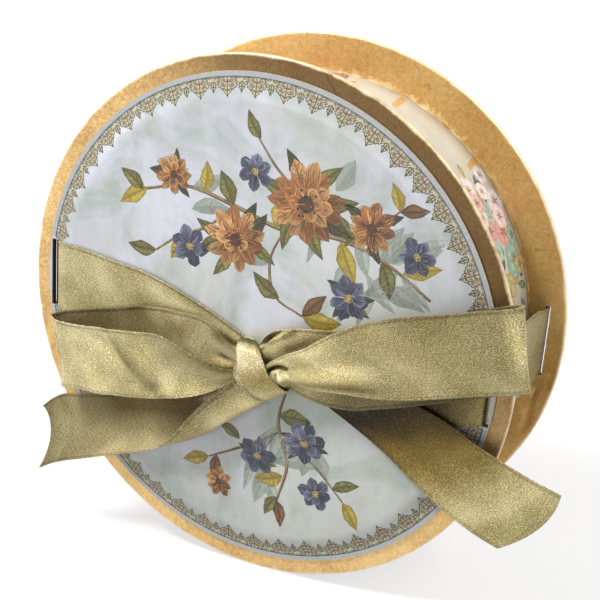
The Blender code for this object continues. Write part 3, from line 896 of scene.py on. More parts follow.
def painted_petal(x, y, angle, length, width, colours, lift, light, blunt=0.7):
    """One petal: a graded shape, brushed along its length, with short dark strokes at its edge."""
    outline = wavering(petal_outline(x, y, angle, length, width, blunt, 7), length * 0.035)
    level = light * dice.uniform(0.8, 1.15)
    foot = (x + length * 0.3 * math.cos(angle), y + length * 0.3 * math.sin(angle))
    painting.shape(outline, dimmed(colours[0], level * 0.8), dimmed(dice.choice(colours[1:3]), level), lift,
                   foot)
    tones = [dimmed(colour, level) for colour in colours]
    brushed(x, y, angle, length, width, tones, lift + 2 * HAIR, 10, blunt)
    first = dice.randrange(1, 9)
    painting.line(outline[first:first + 3], 0.24, INK_BROWN, lift + 0.000012, 0.1)


def painted_bloom(x, y, size, turn, colours, heart, counts, lift):
    """An open flower: rings of petals, the inner ones shorter, and a stippled heart."""
    for ring, count in enumerate(counts):
        for i in range(count):
            angle = turn + 0.35 * ring + math.tau * i / count + dice.uniform(-0.1, 0.1)
            length = size * (1 - 0.27 * ring) * dice.uniform(0.88, 1.06)
            painted_petal(x, y, angle, length, length * 2.9 / count + size * 0.14, colours,
                          lift + LAYER * (ring * 3 + i % 3), 1 + 0.3 * math.cos(angle - 2.3) + 0.12 * ring)
    top = lift + LAYER * 3 * len(counts)
    centre = wavering(arc_points(x, y, size * 0.2, 0, 330, 12), size * 0.02)
    painting.shape(centre, heart, dimmed(heart, 0.6), top)
    for i in range(14):
        angle, reach = dice.uniform(0, math.tau), size * dice.uniform(0.08, 0.34)
        dot = (x + reach * math.cos(angle), y + reach * math.sin(angle))
        painting.shape(arc_points(*dot, size * 0.035, 0, 300, 6), INK_BROWN, INK_BROWN, top + LAYER)


def painted_leaf(x, y, angle, length, width, colours, lift):
    """A leaf: a light half and a dark half, its midrib and a few side veins."""
    level = dice.uniform(0.85, 1.15)
    bend = dice.uniform(-0.35, 0.35)
    spine = []
    for i in range(9):
        share = i / 8
        turn = angle + bend * share
        spine.append((x + length * share * math.cos(turn), y + length * share * math.sin(turn)))
    for side, light in ((1, 1.0), (-1, 0.72)):
        edge = []
        for i, (sx, sy) in enumerate(spine):
            out = side * width / 2 * math.sin(math.pi * (i / 8) ** 0.85) * dice.uniform(0.88, 1.1)
            turn = angle + bend * i / 8
            edge.append((sx - out * math.sin(turn), sy + out * math.cos(turn)))
        middle = ((spine[4][0] + edge[4][0]) / 2, (spine[4][1] + edge[4][1]) / 2)
        painting.shape(spine + edge[-2:0:-1], dimmed(colours[0], level * light), dimmed(colours[1], level),
                       lift, middle)
        for k in range(16):
            place = dice.uniform(0.4, 7.2)
            i, part = int(place), place % 1
            foot = (spine[i][0] + (spine[i + 1][0] - spine[i][0]) * part,
                    spine[i][1] + (spine[i + 1][1] - spine[i][1]) * part)
            far = edge[min(i + dice.choice((1, 2)), 8)]
            start, end = dice.uniform(0, 0.4), dice.uniform(0.6, 1.0)
            tips = [(foot[0] + (far[0] - foot[0]) * t, foot[1] + (far[1] - foot[1]) * t)
                    for t in (start, end)]
            colour = dimmed(dice.choice(colours), light * dice.uniform(0.6, 1.3))
            painting.line(tips, dice.uniform(0.22, 0.5), colour, lift + LAYER + HAIR * k, 0.5)
        painting.line(edge[dice.randrange(1, 4):6], 0.28, dimmed(colours[1], 0.62), lift + 0.00003, 0.1)
    painting.line(spine, 0.4, dimmed(colours[1], 0.7), lift + 0.000032, 0.2)


def smooth_line(points, rows):
    """A smooth line through the points, with the given rows between each pair."""
    points = [Vector(point) for point in points]
    spans = [(b - a).length for a, b in zip(points, points[1:])]
    slopes = [(points[1] - points[0]) / spans[0]]
    for i in range(1, len(points) - 1):
        before = (points[i] - points[i - 1]) / spans[i - 1]
        after = (points[i + 1] - points[i]) / spans[i]
        share = spans[i - 1] / (spans[i - 1] + spans[i])
        slopes.append(before * (1 - share) + after * share)
    slopes.append((points[-1] - points[-2]) / spans[-1])
    line = []
    for i, span in enumerate(spans):
        for row in range(rows):
            t = row / rows
            start = points[i] * (2 * t**3 - 3 * t**2 + 1) + slopes[i] * (span * (t**3 - 2 * t**2 + t))
            end = points[i + 1] * (3 * t**2 - 2 * t**3) + slopes[i + 1] * (span * (t**3 - t**2))
            line.append(start + end)
    line.append(points[-1])
    return line


def painted_branch(points, width, lift):
    """A twig: a brown line with a light streak along its upper side."""
    line = [(p.x, p.y) for p in smooth_line([(x, y, 0) for x, y in points], 5)]
    painting.line(line, width, BRANCH[0], lift, 0.5)
    streak = [(x - width * 0.1, y + width * 0.16) for x, y in line]
    painting.line(streak, width * 0.45, BRANCH[1], lift + 0.000005, 0.3)
    for i in range(len(line) * 3):
        start = dice.randrange(len(line) - 1)
        (ax, ay), (bx, by) = line[start:start + 2]
        off = dice.uniform(-0.4, 0.4) * width
        colour = dimmed(dice.choice(BRANCH), dice.uniform(0.5, 1.3))
        painting.line([(ax, ay + off), (bx, by + off * 0.8)], 0.34, colour, lift + 0.000007, 0.3)


FAINT_LEAVES = 34
for i in range(FAINT_LEAVES):
    x, y = dice.choice(((-46, 58), (-14, 40), (22, 62), (54, 56), (40, 30), (28, -54), (4, -66), (60, 44)))
    painted_leaf(x + dice.uniform(-18, 18), y + dice.uniform(-14, 12), dice.uniform(-2.6, 1.2),
                 dice.uniform(14, 24), dice.uniform(5, 9), LEAF_FAINT, HAIR * (i % 5))
for width, lift, points in (
    (2.2, BRANCH_LAYER, [(84, 34), (62, 46), (38, 52), (12, 50), (-14, 56), (-40, 60), (-62, 54)]),
    (1.4, TWIG_LAYER, [(30, 53), (20, 66), (6, 78), (-4, 90)]),
    (1.5, TWIG_LAYER, [(-14, 56), (-26, 44), (-44, 34), (-54, 26)]),
    (1.3, TWIG_LAYER, [(52, 49), (58, 62), (66, 70)]),
    (1.5, TWIG_LAYER, [(12, 50), (6, 34), (10, 18), (24, 12)]),
    (2.0, BRANCH_LAYER, [(20, -22), (16, -44), (22, -62), (18, -84)]),
    (1.3, TWIG_LAYER, [(19, -52), (36, -60), (52, -74)]),
    (1.4, TWIG_LAYER, [(17, -48), (0, -60), (-20, -72)]),
):
    painted_branch(points, width, lift)
for leaf in (
    (70, 43, 0.4, 19, 8, LEAF_YELLOW), (60, 46, -1.0, 17, 8, LEAF_OLIVE),
    (44, 52, 2.1, 15, 7, LEAF_OLIVE), (40, 51, -1.2, 20, 9, LEAF_YELLOW),
    (8, 50, 1.5, 16, 8, LEAF_YELLOW), (-14, 56, 2.0, 17, 8, LEAF_OLIVE),
    (-30, 59, 1.2, 15, 7, LEAF_YELLOW), (-40, 60, 2.6, 20, 8, LEAF_BROWN),
    (-60, 55, -2.6, 18, 8, LEAF_YELLOW), (-62, 54, 2.5, 15, 7, LEAF_OLIVE),
    (-2, 89, 2.4, 14, 6, LEAF_OLIVE), (-40, 36, -1.9, 14, 7, LEAF_YELLOW),
    (-54, 26, -2.9, 16, 7, LEAF_OLIVE), (66, 70, 0.2, 14, 6, LEAF_BROWN),
    (66, 70, 1.6, 13, 6, LEAF_YELLOW), (24, 12, -0.2, 20, 9, LEAF_YELLOW),
    (12, 18, 2.9, 17, 8, LEAF_OLIVE), (24, 12, 0.9, 17, 7, LEAF_BROWN),
    (16, -40, 0.2, 17, 8, LEAF_OLIVE), (20, -70, -2.5, 16, 8, LEAF_YELLOW),
    (18, -84, -1.2, 14, 6, LEAF_BROWN), (18, -82, -2.3, 13, 6, LEAF_OLIVE),
    (52, -74, -0.9, 15, 7, LEAF_YELLOW), (46, -69, 0.6, 15, 6, LEAF_OLIVE),
    (-20, -72, -2.8, 16, 7, LEAF_YELLOW), (-16, -70, -1.6, 13, 6, LEAF_BROWN),
    (-4, -58, 2.4, 13, 6, LEAF_OLIVE),
):
    painted_leaf(*leaf, LEAF_LAYER)
for x, y, reach, count in ((22, 64, 14, 7), (-12, 40, 12, 6), (54, 60, 9, 4), (46, 26, 7, 4), (30, -50, 7, 4),
                           (6, -64, 6, 3), (-46, 64, 7, 3), (-36, 32, 6, 3)):
    for i in range(count):
        angle = math.tau * (i + dice.random()) / count
        foot = (x + reach * 0.5 * math.cos(angle), y + reach * 0.5 * math.sin(angle))
        painted_leaf(*foot, angle, reach * 1.35, reach * 0.5, dice.choice((LEAF_DEEP, LEAF_OLIVE, LEAF_DEEP)),
                     SHADE_LAYER)
for bloom in (
    (22, 64, 20, 0.3, RUST, tint(96, 66, 40), (11, 9, 6)),
    (-12, 40, 16, 1.1, RUST, tint(88, 58, 38), (10, 8, 6)),
    (54, 60, 12, 0.7, RUST, RUST_HEART, (9, 7)), (-46, 64, 10, 0.2, RUST, RUST_HEART, (8, 6)),
    (-4, 74, 9, 0.5, SLATE, SLATE_HEARTS[0], (6, 5)), (-36, 32, 10, 1.9, SLATE, SLATE_HEARTS[1], (6, 5)),
    (46, 26, 11, 0.9, SLATE, SLATE_HEARTS[0], (7, 5)), (76, 52, 9, 2.2, SLATE, SLATE_HEARTS[1], (6, 5)),
    (30, -50, 11, 0.4, SLATE, SLATE_HEARTS[1], (7, 5)), (6, -64, 10, 1.3, SLATE, SLATE_HEARTS[0], (6, 5)),
    (38, -74, 9, 2.0, SLATE, SLATE_HEARTS[1], (6, 5)), (-14, -84, 8, 0.6, RUST, RUST_HEART, (8, 6)),
):
    painted_bloom(*bloom, BLOOM_LAYER)
belongs(painting.made("picture_painting", ink("painting_ink", 0.34, 480, 0.2)), "lid", "picture_paper")


# The ribbon: one length of 38 mm satin, bright on one side and matt on the other, with woven
# selvages. It crosses the back, comes forward through the slits and is tied in a bow.
RIBBON_WIDTH = 0.038
RIBBON = 0.0004
SHELL = 2 * RIBBON
PLAIN_WEIGHT = RIBBON / SHELL
SELVAGE_WEIGHT = 0.75
ROWS = 8
EDGE_CELLS = [0, 0.008, 0.018, 0.03]
ACROSS = EDGE_CELLS + [0.03 + 0.94 * i / 34 for i in range(1, 34)] + [1 - s for s in reversed(EDGE_CELLS)]


def ribbon_side(name, dark, mid, pale, roughness, metallic, thread, sparkle):
    """One side of the ribbon: fine threads along its length, painted glints on some of them, and a stitched
    selvage.
    """
    made = Finish(name, roughness, metallic, Sheen_Weight=0.03, Sheen_Roughness=0.4, Specular_IOR_Level=0.18)
    flat = made.add("UVMap", "UV", {"uv_map": "weave"})
    along, across = made.parts(flat)[:2]
    # The tone attribute holds painted shade and highlight, which darkens or brightens the dye.
    tone = made.add("Attribute", "Color", {"attribute_name": "tone"})
    stretched = made.add("Mapping", "Vector", Vector=flat, Scale=(thread, 1, 1))
    glint = made.cloud(stretched, Scale=2600, Detail=2, Roughness=0.9)
    slow = made.cloud(flat, Scale=45, Detail=3)
    dye_and_shade = made.ramp(made.between(0.8, slow, glint), (0.41, dark), (0.5, mid), (0.59, pale))

    # The stitched selvage, with a dark line just inside it: painted shade in the groove beside the raised
    # edge.
    edge = made.maths("ABSOLUTE", across)
    half = RIBBON_WIDTH / 2
    stitch = made.maths("SINE", made.maths("MULTIPLY", along, 5600))
    selvage = made.scaled(dye_and_shade, made.spread(stitch, -1, 1, 0.66))
    groove = made.scaled(dye_and_shade, made.spread(edge, half - 0.0021, half - 0.0014, 1.0, 0.62, "SMOOTHSTEP"))
    band = made.spread(edge, half - 0.0012, half - 0.0008, curve="SMOOTHSTEP")
    painted_shade = made.vectors("MULTIPLY", made.mixed(band, groove, selvage), tone)

    # Painted glints: pale specks, as bright as the painted tone lets them be.
    spark = made.spread(made.cells(stretched, 2700)["X"], 0.74, 1.0, top=sparkle)
    shine = made.vectors("MULTIPLY_ADD", tone, pale[:3], (0.1, 0.08, 0.03))
    made.dress(Base_Color=made.mixed(spark, painted_shade, shine))
    made.bumped(glint, 0.22, 0.0003)
    return made.material


satin = ribbon_side("ribbon_satin_side", tint(128, 112, 60), tint(168, 152, 98), tint(246, 236, 194), 0.42,
                    0.2, 0.7, 0.6)
matt = ribbon_side("ribbon_matt_side", tint(118, 105, 68), tint(156, 143, 104), tint(196, 184, 144), 0.65,
                   0.0, 0.25, 0.12)


def fold_curve(ratio, waves, phase):
    """A gathered cross-section: a line as long as the ribbon is wide that winds between the edges.
    It is given at each place across, along and out of the line between the edges, which is 1 long."""
    bend = 2 * math.sqrt(1 - ratio) * (1 + 0.12 * (1 - ratio))
    steps = 200
    line = [(0.0, 0.0)]
    for k in range(steps):
        s = (k + 0.5) / steps
        turn = bend * math.sin(math.tau * waves * (s + 0.05 * math.sin(math.tau * s + 2)) + phase)
        line.append((line[-1][0] + math.cos(turn), line[-1][1] + math.sin(turn)))
    ex, ey = line[-1]
    size = ex * ex + ey * ey
    turned = [((x * ex + y * ey) / size, (y * ex - x * ey) / size) for x, y in line]
    return [turned[round(s * steps)] for s in ACROSS]


def ribbon_grid(edge, other, middle=None, waves=0, phase=0.0, gather=lambda share: 0.9):
    """Rows of points across a length of ribbon, between its edges in millimetres on the lid.
    Where the edges come together, the ribbon is gathered in waves, as much as gather says."""
    first, last = smooth_line(edge, ROWS), smooth_line(other, ROWS)
    centre = smooth_line(middle, ROWS) if middle else [(a + b) / 2 for a, b in zip(first, last)]
    grid = []
    for i, (a, m, b) in enumerate(zip(first, centre, last)):
        row = [a * ((1 - s) * (1 - 2 * s)) + m * (4 * s * (1 - s)) + b * (s * (2 * s - 1)) for s in ACROSS]
        chord = b - a
        ratio = max(chord.length / (RIBBON_WIDTH / MM), 0.16)
        if waves and ratio < 1:
            along = centre[min(i + 1, len(centre) - 1)] - centre[max(i - 1, 0)]
            out = along.cross(chord).normalized() * chord.length
            kept = gather(i / (len(first) - 1))
            curve = fold_curve(1 - (1 - ratio) * kept, waves, phase)
            row = [point + chord * (x - s) + out * y for point, s, (x, y) in zip(row, ACROSS, curve)]
        grid.append(row)
    return grid


def facing(grid, i, j):
    """The direction that a ribbon grid faces at one of its points."""
    along = grid[min(i + 1, len(grid) - 1)][j] - grid[max(i - 1, 0)][j]
    across = grid[i][min(j + 1, len(grid[i]) - 1)] - grid[i][max(j - 1, 0)]
    return along.cross(across).normalized()


def shaped(grid, lift):
    """The grid with each point moved out of its surface by lift(rows along, share across)."""
    return [[point + facing(grid, i, j) * lift(i / ROWS, ACROSS[j]) for j, point in enumerate(row)]
            for i, row in enumerate(grid)]


def even(run, share):
    """No painted shade or highlight: the ribbon's own colour all over."""
    return 1, 1, 1


def ribbon_piece(name, grid, body, stands_for, faces_out=True, tones=even, width=RIBBON_WIDTH,
                 shift=0.0):
    """A length of ribbon from its grid: its two sides, its thicker selvages and its flat size. The
    tones are painted shade and highlight over its colour, by the share run along it and the share
    across it. The width is less than the ribbon's where a part is folded away, and shift says how
    far its middle then lies off the weave's."""
    points = [rolled(x * MM, y * MM, PICTURE_FACE + h * MM) for row in grid for x, y, h in row]
    wide = len(ACROSS)
    quads = [(i * wide + j, i * wide + j + 1, (i + 1) * wide + j + 1, (i + 1) * wide + j)
             for i in range(len(grid) - 1) for j in range(wide - 1)]
    if not faces_out:
        quads = [face[::-1] for face in quads]
    mesh = bpy.data.meshes.new(name)
    mesh.from_pydata(points, [], quads)
    middle = wide // 2
    runs = [0.0]
    for before, after in zip(grid, grid[1:]):
        runs.append(runs[-1] + (after[middle] - before[middle]).length * MM)
    weave = mesh.uv_layers.new(name="weave")
    for loop in mesh.loops:
        i, j = divmod(loop.vertex_index, wide)
        weave.data[loop.index].uv = (runs[i], (ACROSS[j] - 0.5) * width + shift)
    # The tone attribute: painted shade and highlight at each point.
    dye_and_shade = mesh.color_attributes.new("tone", "FLOAT_COLOR", "POINT")
    for index, spot in enumerate(dye_and_shade.data):
        i, j = divmod(index, wide)
        spot.color = (*tones(runs[i] / runs[-1], ACROSS[j]), 1.0)
    piece = bpy.data.objects.new(name, mesh)
    bpy.context.scene.collection.objects.link(piece)
    mesh.materials.append(satin)
    mesh.materials.append(matt)
    shell = piece.modifiers.new("two_sides", "SOLIDIFY")
    shell.thickness = SHELL
    shell.offset = 0
    shell.material_offset = 1
    selvage = piece.vertex_groups.new(name="selvage")
    for vertex in piece.data.vertices:
        s = ACROSS[vertex.index % wide]
        stitched = 0.001 < min(s, 1 - s) < 0.025
        selvage.add([vertex.index], SELVAGE_WEIGHT if stitched else PLAIN_WEIGHT, "REPLACE")
    shell.vertex_group = selvage.name
    apply_all(piece)
    smoothed(piece, SHARP)
    if isinstance(body, str):
        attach(piece, body)
    else:
        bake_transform(piece)
    if stands_for:
        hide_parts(stands_for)
    return piece


# The straps that run in over the picture: the satin ribbon comes up through each of the lid's
# slits, lies taut over the domed card, and narrows into the knot in its middle. Their edges are
# given by the share of the way out to the slit, and by millimetres up and forward.
STRAP_TOP = [(1.0, 16.7, -2.8), (0.985, 16.9, -0.5), (0.965, 17.1, 0.5), (0.88, 17.5, 1.2),
             (0.75, 16, 1.6), (0.57, 14, 1.8), (0.38, 8, 1.9), (0.2, 0, 1.9), (0.06, -8, 1.8)]
STRAP_BOTTOM = [(1.0, -16.7, -2.8), (0.985, -16.9, -0.5), (0.965, -17.3, 0.5), (0.88, -19.6, 1.2),
                (0.75, -21.5, 1.5), (0.57, -22, 1.6), (0.38, -21, 1.6), (0.2, -19.5, 1.6),
                (0.06, -18, 1.6)]
KNOT_RIGHT = 10


def graded(place, *stops):
    """A colour read from (place, colour) stops, with straight runs between them."""
    for (start, first), (end, second) in zip(stops, stops[1:]):
        if place <= end:
            return mixed_tone(first, second, max(0, (place - start) / (end - start)))
    return stops[-1][1]


def left_strap_tone(run, share):
    """The left strap's tone, the same all over."""
    return 0.93, 0.93, 0.9


def right_strap_tone(run, share):
    """The right strap's painted shade: dark in its slit, then paler, and in the loop's shadow under it."""
    return graded(run, (0.005, (0.2, 0.16, 0.1)), (0.02, (0.75, 0.7, 0.54)), (0.08, (0.42, 0.38, 0.27)),
                  (0.2, (0.12, 0.1, 0.055)))


for side, sign, out, short, tones in (("left", -1, True, 1.3, left_strap_tone),
                                      ("right", 1, False, 0.2, right_strap_tone)):
    far = sign * (LID_SLIT / MM - short)
    edges = [[(KNOT_RIGHT + (far - KNOT_RIGHT) * share, y, h) for share, y, h in edge]
             for edge in (STRAP_TOP, STRAP_BOTTOM)]
    grid = ribbon_grid(*edges)
    last = (len(grid) - 1) / ROWS
    rise = 0.6 if out else -0.6
    grid = shaped(grid, lambda i, s: rise * max(0, 1 - (last - i) / 4) * (1 + math.sin(math.tau * 2.5 * s)))
    ribbon_piece(f"strap_front_{side}", grid, "lid", f"ribbon_front_{side}",
                 out, tones)


# The straps at the sides, from the back board's slits forward to the lid's, and the one across
# the back.
def side_grid(sign):
    """A side strap in millimetres on the lid: it starts in the back slit and ends in the lid's."""
    start, end = 0.15, LID_FACE / MM - 0.3
    shares = ((0, 16.7), (0.05, 16.7), (0.22, 19), (0.5, 19), (0.78, 19), (0.94, 16.7), (1, 16.7))
    edges = []
    for half in (1, -1):
        edges.append([(sign * (BACK_SLIT + (LID_SLIT - BACK_SLIT) * share) / MM, half * wide,
                       start + (end - start) * share - PICTURE_FACE / MM) for share, wide in shares])
    return ribbon_grid(*edges)


def side_tone(run, share):
    """The side straps' painted shade: a little darker between the boards, and dark inside the slits."""
    return graded(run, (0, (0.4, 0.36, 0.28)), (0.03, (0.7, 0.69, 0.65)), (0.955, (0.76, 0.76, 0.72)),
                  (0.975, (0.07, 0.05, 0.03)))


for side, sign, out in (("left", -1, True), ("right", 1, False)):
    ribbon_piece(f"strap_side_{side}", side_grid(sign),
                 ("base", "lid", rolled(sign * BACK_SLIT, 0, 0.002), rolled(sign * LID_SLIT, 0, 0.066)),
                 f"ribbon_side_{side}", out, side_tone)

behind = -(BOARD_THICKNESS / 2 + 0.0006 + PICTURE_FACE) / MM
reach = BACK_SLIT / MM
path = [(reach, -PICTURE_FACE / MM - 0.15, 16.7), (reach, behind + 0.6, 16.7), (reach - 0.6, behind, 16.8),
        (reach - 15, behind, 19), (0, behind, 19)]
path += [(-x, h, half) for x, h, half in path[-2::-1]]
back_edges = [[(x, sign * half, h) for x, h, half in path] for sign in (1, -1)]
ribbon_piece("strap_back", ribbon_grid(*back_edges), "base", "ribbon_back")


# The bow: two loops and two tails of the same satin ribbon, gathered under the knot. Each run lies
# between two edges, given in millimetres right, up and forward on the lid.
LEFT_LOOP_TOP = [(8, -12.5, 6.6), (-4, -11.4, 6.6), (-12.5, -5, 6.6), (-22, 0.4, 6.4), (-38, 0.9, 5.9),
                 (-55, -1.2, 5.6), (-75, -7, 5.8), (-93, -12, 6.4), (-102, -14.5, 8.4), (-105, -15.5, 12),
                 (-101, -15.3, 16.5), (-90, -14, 19.6), (-70, -10, 23), (-50, -6, 25.6),
                 (-35, -4, 25.6), (-22, -10, 22.2), (-11, -16.4, 16.4), (-1, -17.6, 11), (8, -15.6, 9.4)]
LEFT_LOOP_BOTTOM = [(6, -19, 6.2), (0, -20, 6.2), (-10, -25, 6.0), (-22, -31, 5.8), (-38, -37, 5.6),
                    (-55, -40, 5.6), (-75, -44.5, 5.8), (-89, -49.5, 6.2), (-97.5, -51.5, 7.6),
                    (-100, -52.5, 10.4), (-97.5, -52, 13), (-89, -50, 14.6), (-72, -47, 16.6),
                    (-51, -43, 17.6), (-34, -38.5, 17.6), (-19, -33.5, 15.6), (-9, -28, 12.8),
                    (1, -21.5, 9.8), (8, -20, 8.6)]
RIGHT_LOOP_TOP = [(5, -6, 6.4), (11, 2.2, 6.2), (20, 6.8, 6), (29.4, 9, 5.6), (40.6, 11.2, 5.4),
                  (60, 18.5, 5), (80, 26, 5), (102, 35, 5), (118, 42, 5.2), (125.5, 45, 6.4),
                  (127.5, 45.8, 8.6), (125, 44.8, 10.8), (114, 41.5, 12.2), (93, 34.5, 13), (71, 27, 13),
                  (55, 19.5, 12.6), (42, 10.8, 12.4), (31, 1.9, 12.2), (22.7, -2.9, 12.2),
                  (17.3, -6.9, 12.2), (13.4, -10.5, 12.2), (8, -13.5, 11)]
RIGHT_LOOP_BOTTOM = [(8, -18, 6), (16, -20, 5.8), (23, -22, 5.6), (32, -24.3, 5.4), (41, -25.3, 5.2),
                     (52, -24.5, 5), (69, -19, 5), (90, -10.8, 5), (110, -2.5, 5), (126, 4.5, 5.2),
                     (133.5, 8, 6.4), (135, 9, 8.6), (131.5, 8, 10.8), (121, 4.8, 11.8),
                     (101, -1.8, 12.4), (83, -8, 12.4), (66, -12, 12), (52, -14, 11.8),
                     (40.5, -15.8, 11.6), (33, -16.2, 11.6), (27.4, -16.4, 11.6), (23.6, -18.8, 10.8)]
LEFT_TAIL_UPPER = [(5, -19, 5.4), (-3.6, -23, 7.6), (-11.8, -31.4, 10), (-20.5, -41.5, 11),
                   (-30.5, -54.5, 10.2), (-39.5, -66.5, 8.8), (-49, -74.5, 7), (-62, -81, 5.6),
                   (-78, -88, 4.6), (-93, -94.5, 4.2), (-104, -99, 4.6), (-109, -101, 6.6),
                   (-114, -103.5, 10.6)]
LEFT_TAIL_MIDDLE = [(12, -25, 4), (10, -32.4, 5.2), (2.4, -38.4, 7.4), (-8, -47, 8.4), (-19, -56, 7.6),
                    (-31, -61, 6.4), (-43, -63.5, 5.2), (-60, -67, 4.6), (-77, -71.5, 4.4),
                    (-92, -76, 4.4), (-104, -80, 5), (-109, -82, 7), (-113, -84.5, 10.6)]
LEFT_TAIL_LOWER = [(6, -22, 5.2), (2, -25.5, 4.2), (-6, -29.6, 3.4), (-16, -34.4, 2.8), (-28, -39, 2.6),
                   (-41, -42.6, 2.6), (-50, -45.4, 2.8), (-63, -49.4, 3.2), (-78, -54, 3.6),
                   (-92, -58, 4), (-104, -61, 4.8), (-108.5, -64, 6.8), (-112, -67.8, 10)]
RIGHT_TAIL_UPPER = [(12, -9, 4.2), (22, -8, 4.4), (34, -7, 4.4), (50, -8, 4.4), (75, -11, 4.4),
                    (99, -17, 4.2), (111, -22.5, 4), (123, -27, 4), (139, -31.4, 4.6), (159, -34.6, 7.1)]
RIGHT_TAIL_LOWER = [(12, -17, 2.4), (20, -18.5, 2.4), (30, -21.5, 2.2), (40.4, -26.6, 1.8),
                    (55.4, -33.8, 1.4), (72.6, -42, 2.4), (88, -51, 4), (104.6, -59, 6),
                    (118.2, -63.2, 8.2), (136, -65.5, 12.4)]
# Levels of painted light on the ribbon: plain, painted shade and deep shadow, and painted sheen and
# highlights.
PLAIN = (1, 1, 1)
SHADED = (0.68, 0.66, 0.58)
DIM_SHADE = (0.7, 0.67, 0.58)
DEEP = (0.04, 0.03, 0.012)
DARK = (0.5, 0.46, 0.36)
SHEEN_HAZE = (1.2, 1.18, 1.16)
PALE = (1.2, 1.18, 1.14)
BRIGHT = (1.3, 1.28, 1.22)


def creased(grid, creases):
    """The grid with soft folds: each follows a path over the lid, and is pressed in or raised."""
    made = [[point.copy() for point in row] for row in grid]
    for first, last, depth, width, *path in creases:
        spots = [Vector(spot) for spot in path]
        for row in made[first * ROWS:last * ROWS + 1]:
            for point in row:
                flat = point.to_2d()
                away = 1e9
                for a, b in zip(spots, spots[1:]):
                    share = max(0, min(1, (flat - a).dot(b - a) / (b - a).length_squared))
                    away = min(away, (flat - a.lerp(b, share)).length)
                point.z += depth * math.exp(-((away / width) ** 2))
    return made


def notched(grid, notch):
    """The grid drawn back along the strip: a positive notch at the middle of the cut, a negative one
    at its two corners."""
    last = len(grid) - 1
    made = [list(row) for row in grid]
    for j, s in enumerate(ACROSS):
        back = notch * 4 * s * (1 - s) if notch > 0 else notch * (4 * s * (1 - s) - 1)
        for i in range(len(grid)):
            place = min(max(i * (1 - back), 0), last)
            low = min(int(place), last - 1)
            made[i][j] = grid[low][j].lerp(grid[low + 1][j], place - low)
    return made


def dabbed(tone, run, share, *dabs):
    """The tone with soft dabs over it, each given by its place and reach along and across, and its tone."""
    for run_at, share_at, run_reach, share_reach, dab in dabs:
        amount = math.exp(-((run - run_at) / run_reach) ** 2 - ((share - share_at) / share_reach) ** 2)
        tone = mixed_tone(tone, dab, amount)
    return tone


def left_loop_tone(run, share):
    """The left loop's painted light: a hazy sheen inside, shade in its far bend, and one dark fold of painted
    shade across its front, between painted highlights.
    """
    if run < 0.5:
        inside = graded(run + 0.04 * share, (0.02, SHEEN_HAZE), (0.14, PLAIN), (0.2, SHEEN_HAZE), (0.25, SHEEN_HAZE),
                        (0.285, (0.62, 0.58, 0.44)), (0.31, DARK), (0.34, SHADED), (0.44, SHADED),
                        (0.52, PLAIN))
        return dabbed(inside, run, share, (0.074, 0.6, 0.026, 0.14, (3.4, 3.3, 3.1)),
                      (0.4, 0.1, 0.05, 0.3, (0.36, 0.33, 0.26)), (0.19, 0.25, 0.04, 0.14, (0.95, 0.92, 0.84)),
                      (0.088, 0.08, 0.022, 0.1, (0.45, 0.4, 0.26)), (0.07, 0.4, 0.02, 0.06, (0.2, 0.16, 0.1)))
    front = graded(run - 0.14 * share, (0.42, PLAIN), (0.5, BRIGHT), (0.63, BRIGHT),
                   (0.652, (0.5, 0.47, 0.37)), (0.668, (0.9, 0.88, 0.82)), (0.69, (1.34, 1.32, 1.26)),
                   (0.75, PALE), (0.8, PLAIN), (0.86, (0.72, 0.68, 0.54)))
    return dabbed(front, run, share, (0.93, 0.1, 0.03, 0.2, (0.5, 0.46, 0.3)),
                  (0.615, 0.3, 0.045, 0.35, (1.66, 1.66, 1.7)), (0.755, 0.3, 0.022, 0.28, (1.85, 1.82, 1.7)),
                  (0.69, 0.85, 0.04, 0.2, (0.9, 0.88, 0.8)))


def right_loop_tone(run, share):
    """The right loop's painted shade and highlight: deep shade close behind its own front layer, and pale
    towards the knot.
    """
    tone = graded(run, (0, (1.4, 1.38, 1.32)), (0.1, (1.75, 1.72, 1.64)), (0.18, (0.9, 0.88, 0.8)),
                  (0.27, (0.85, 0.83, 0.75)), (0.35, (0.52, 0.5, 0.42)), (0.44, SHADED), (0.5, PLAIN),
                  (0.515, (1.05, 1.02, 0.96)), (0.53, (0.92, 0.9, 0.84)), (0.55, (0.76, 0.75, 0.71)),
                  (0.6, (0.67, 0.65, 0.57)), (0.74, (0.78, 0.75, 0.66)), (0.8, (0.9, 0.9, 0.88)),
                  (0.84, (1.2, 1.17, 1.12)), (0.92, (1.16, 1.14, 1.1)), (0.95, (0.96, 0.96, 0.94)))
    if run < 0.14:
        behind = (share - 0.55 + 3.6 * run) / 0.12
        fade = graded(run, (0.035, (0,)), (0.06, (0.9,)), (0.1, (0.9,)), (0.13, (0.5,)))[0]
        tone = mixed_tone(tone, (0.3, 0.22, 0.12), math.exp(-behind ** 2) * fade)
    return dabbed(tone, run, share, (0.026, 0.1, 0.012, 0.1, (0.26, 0.2, 0.12)),
                  (0.86, 0.86, 0.07, 0.11, (0.42, 0.38, 0.28)), (0.59, 0.0, 0.1, 0.28, (0.5, 0.47, 0.36)),
                  (0.545, 0.08, 0.02, 0.16, (0.55, 0.52, 0.42)), (0.52, 0.4, 0.01, 0.3, (1.8, 1.76, 1.65)),
                  (0.87, 0.15, 0.03, 0.14, (1.9, 1.87, 1.8)), (0.962, 0.2, 0.012, 0.07, (0.12, 0.1, 0.06)),
                  (0.99, 0.3, 0.008, 0.2, (0.15, 0.12, 0.07)))


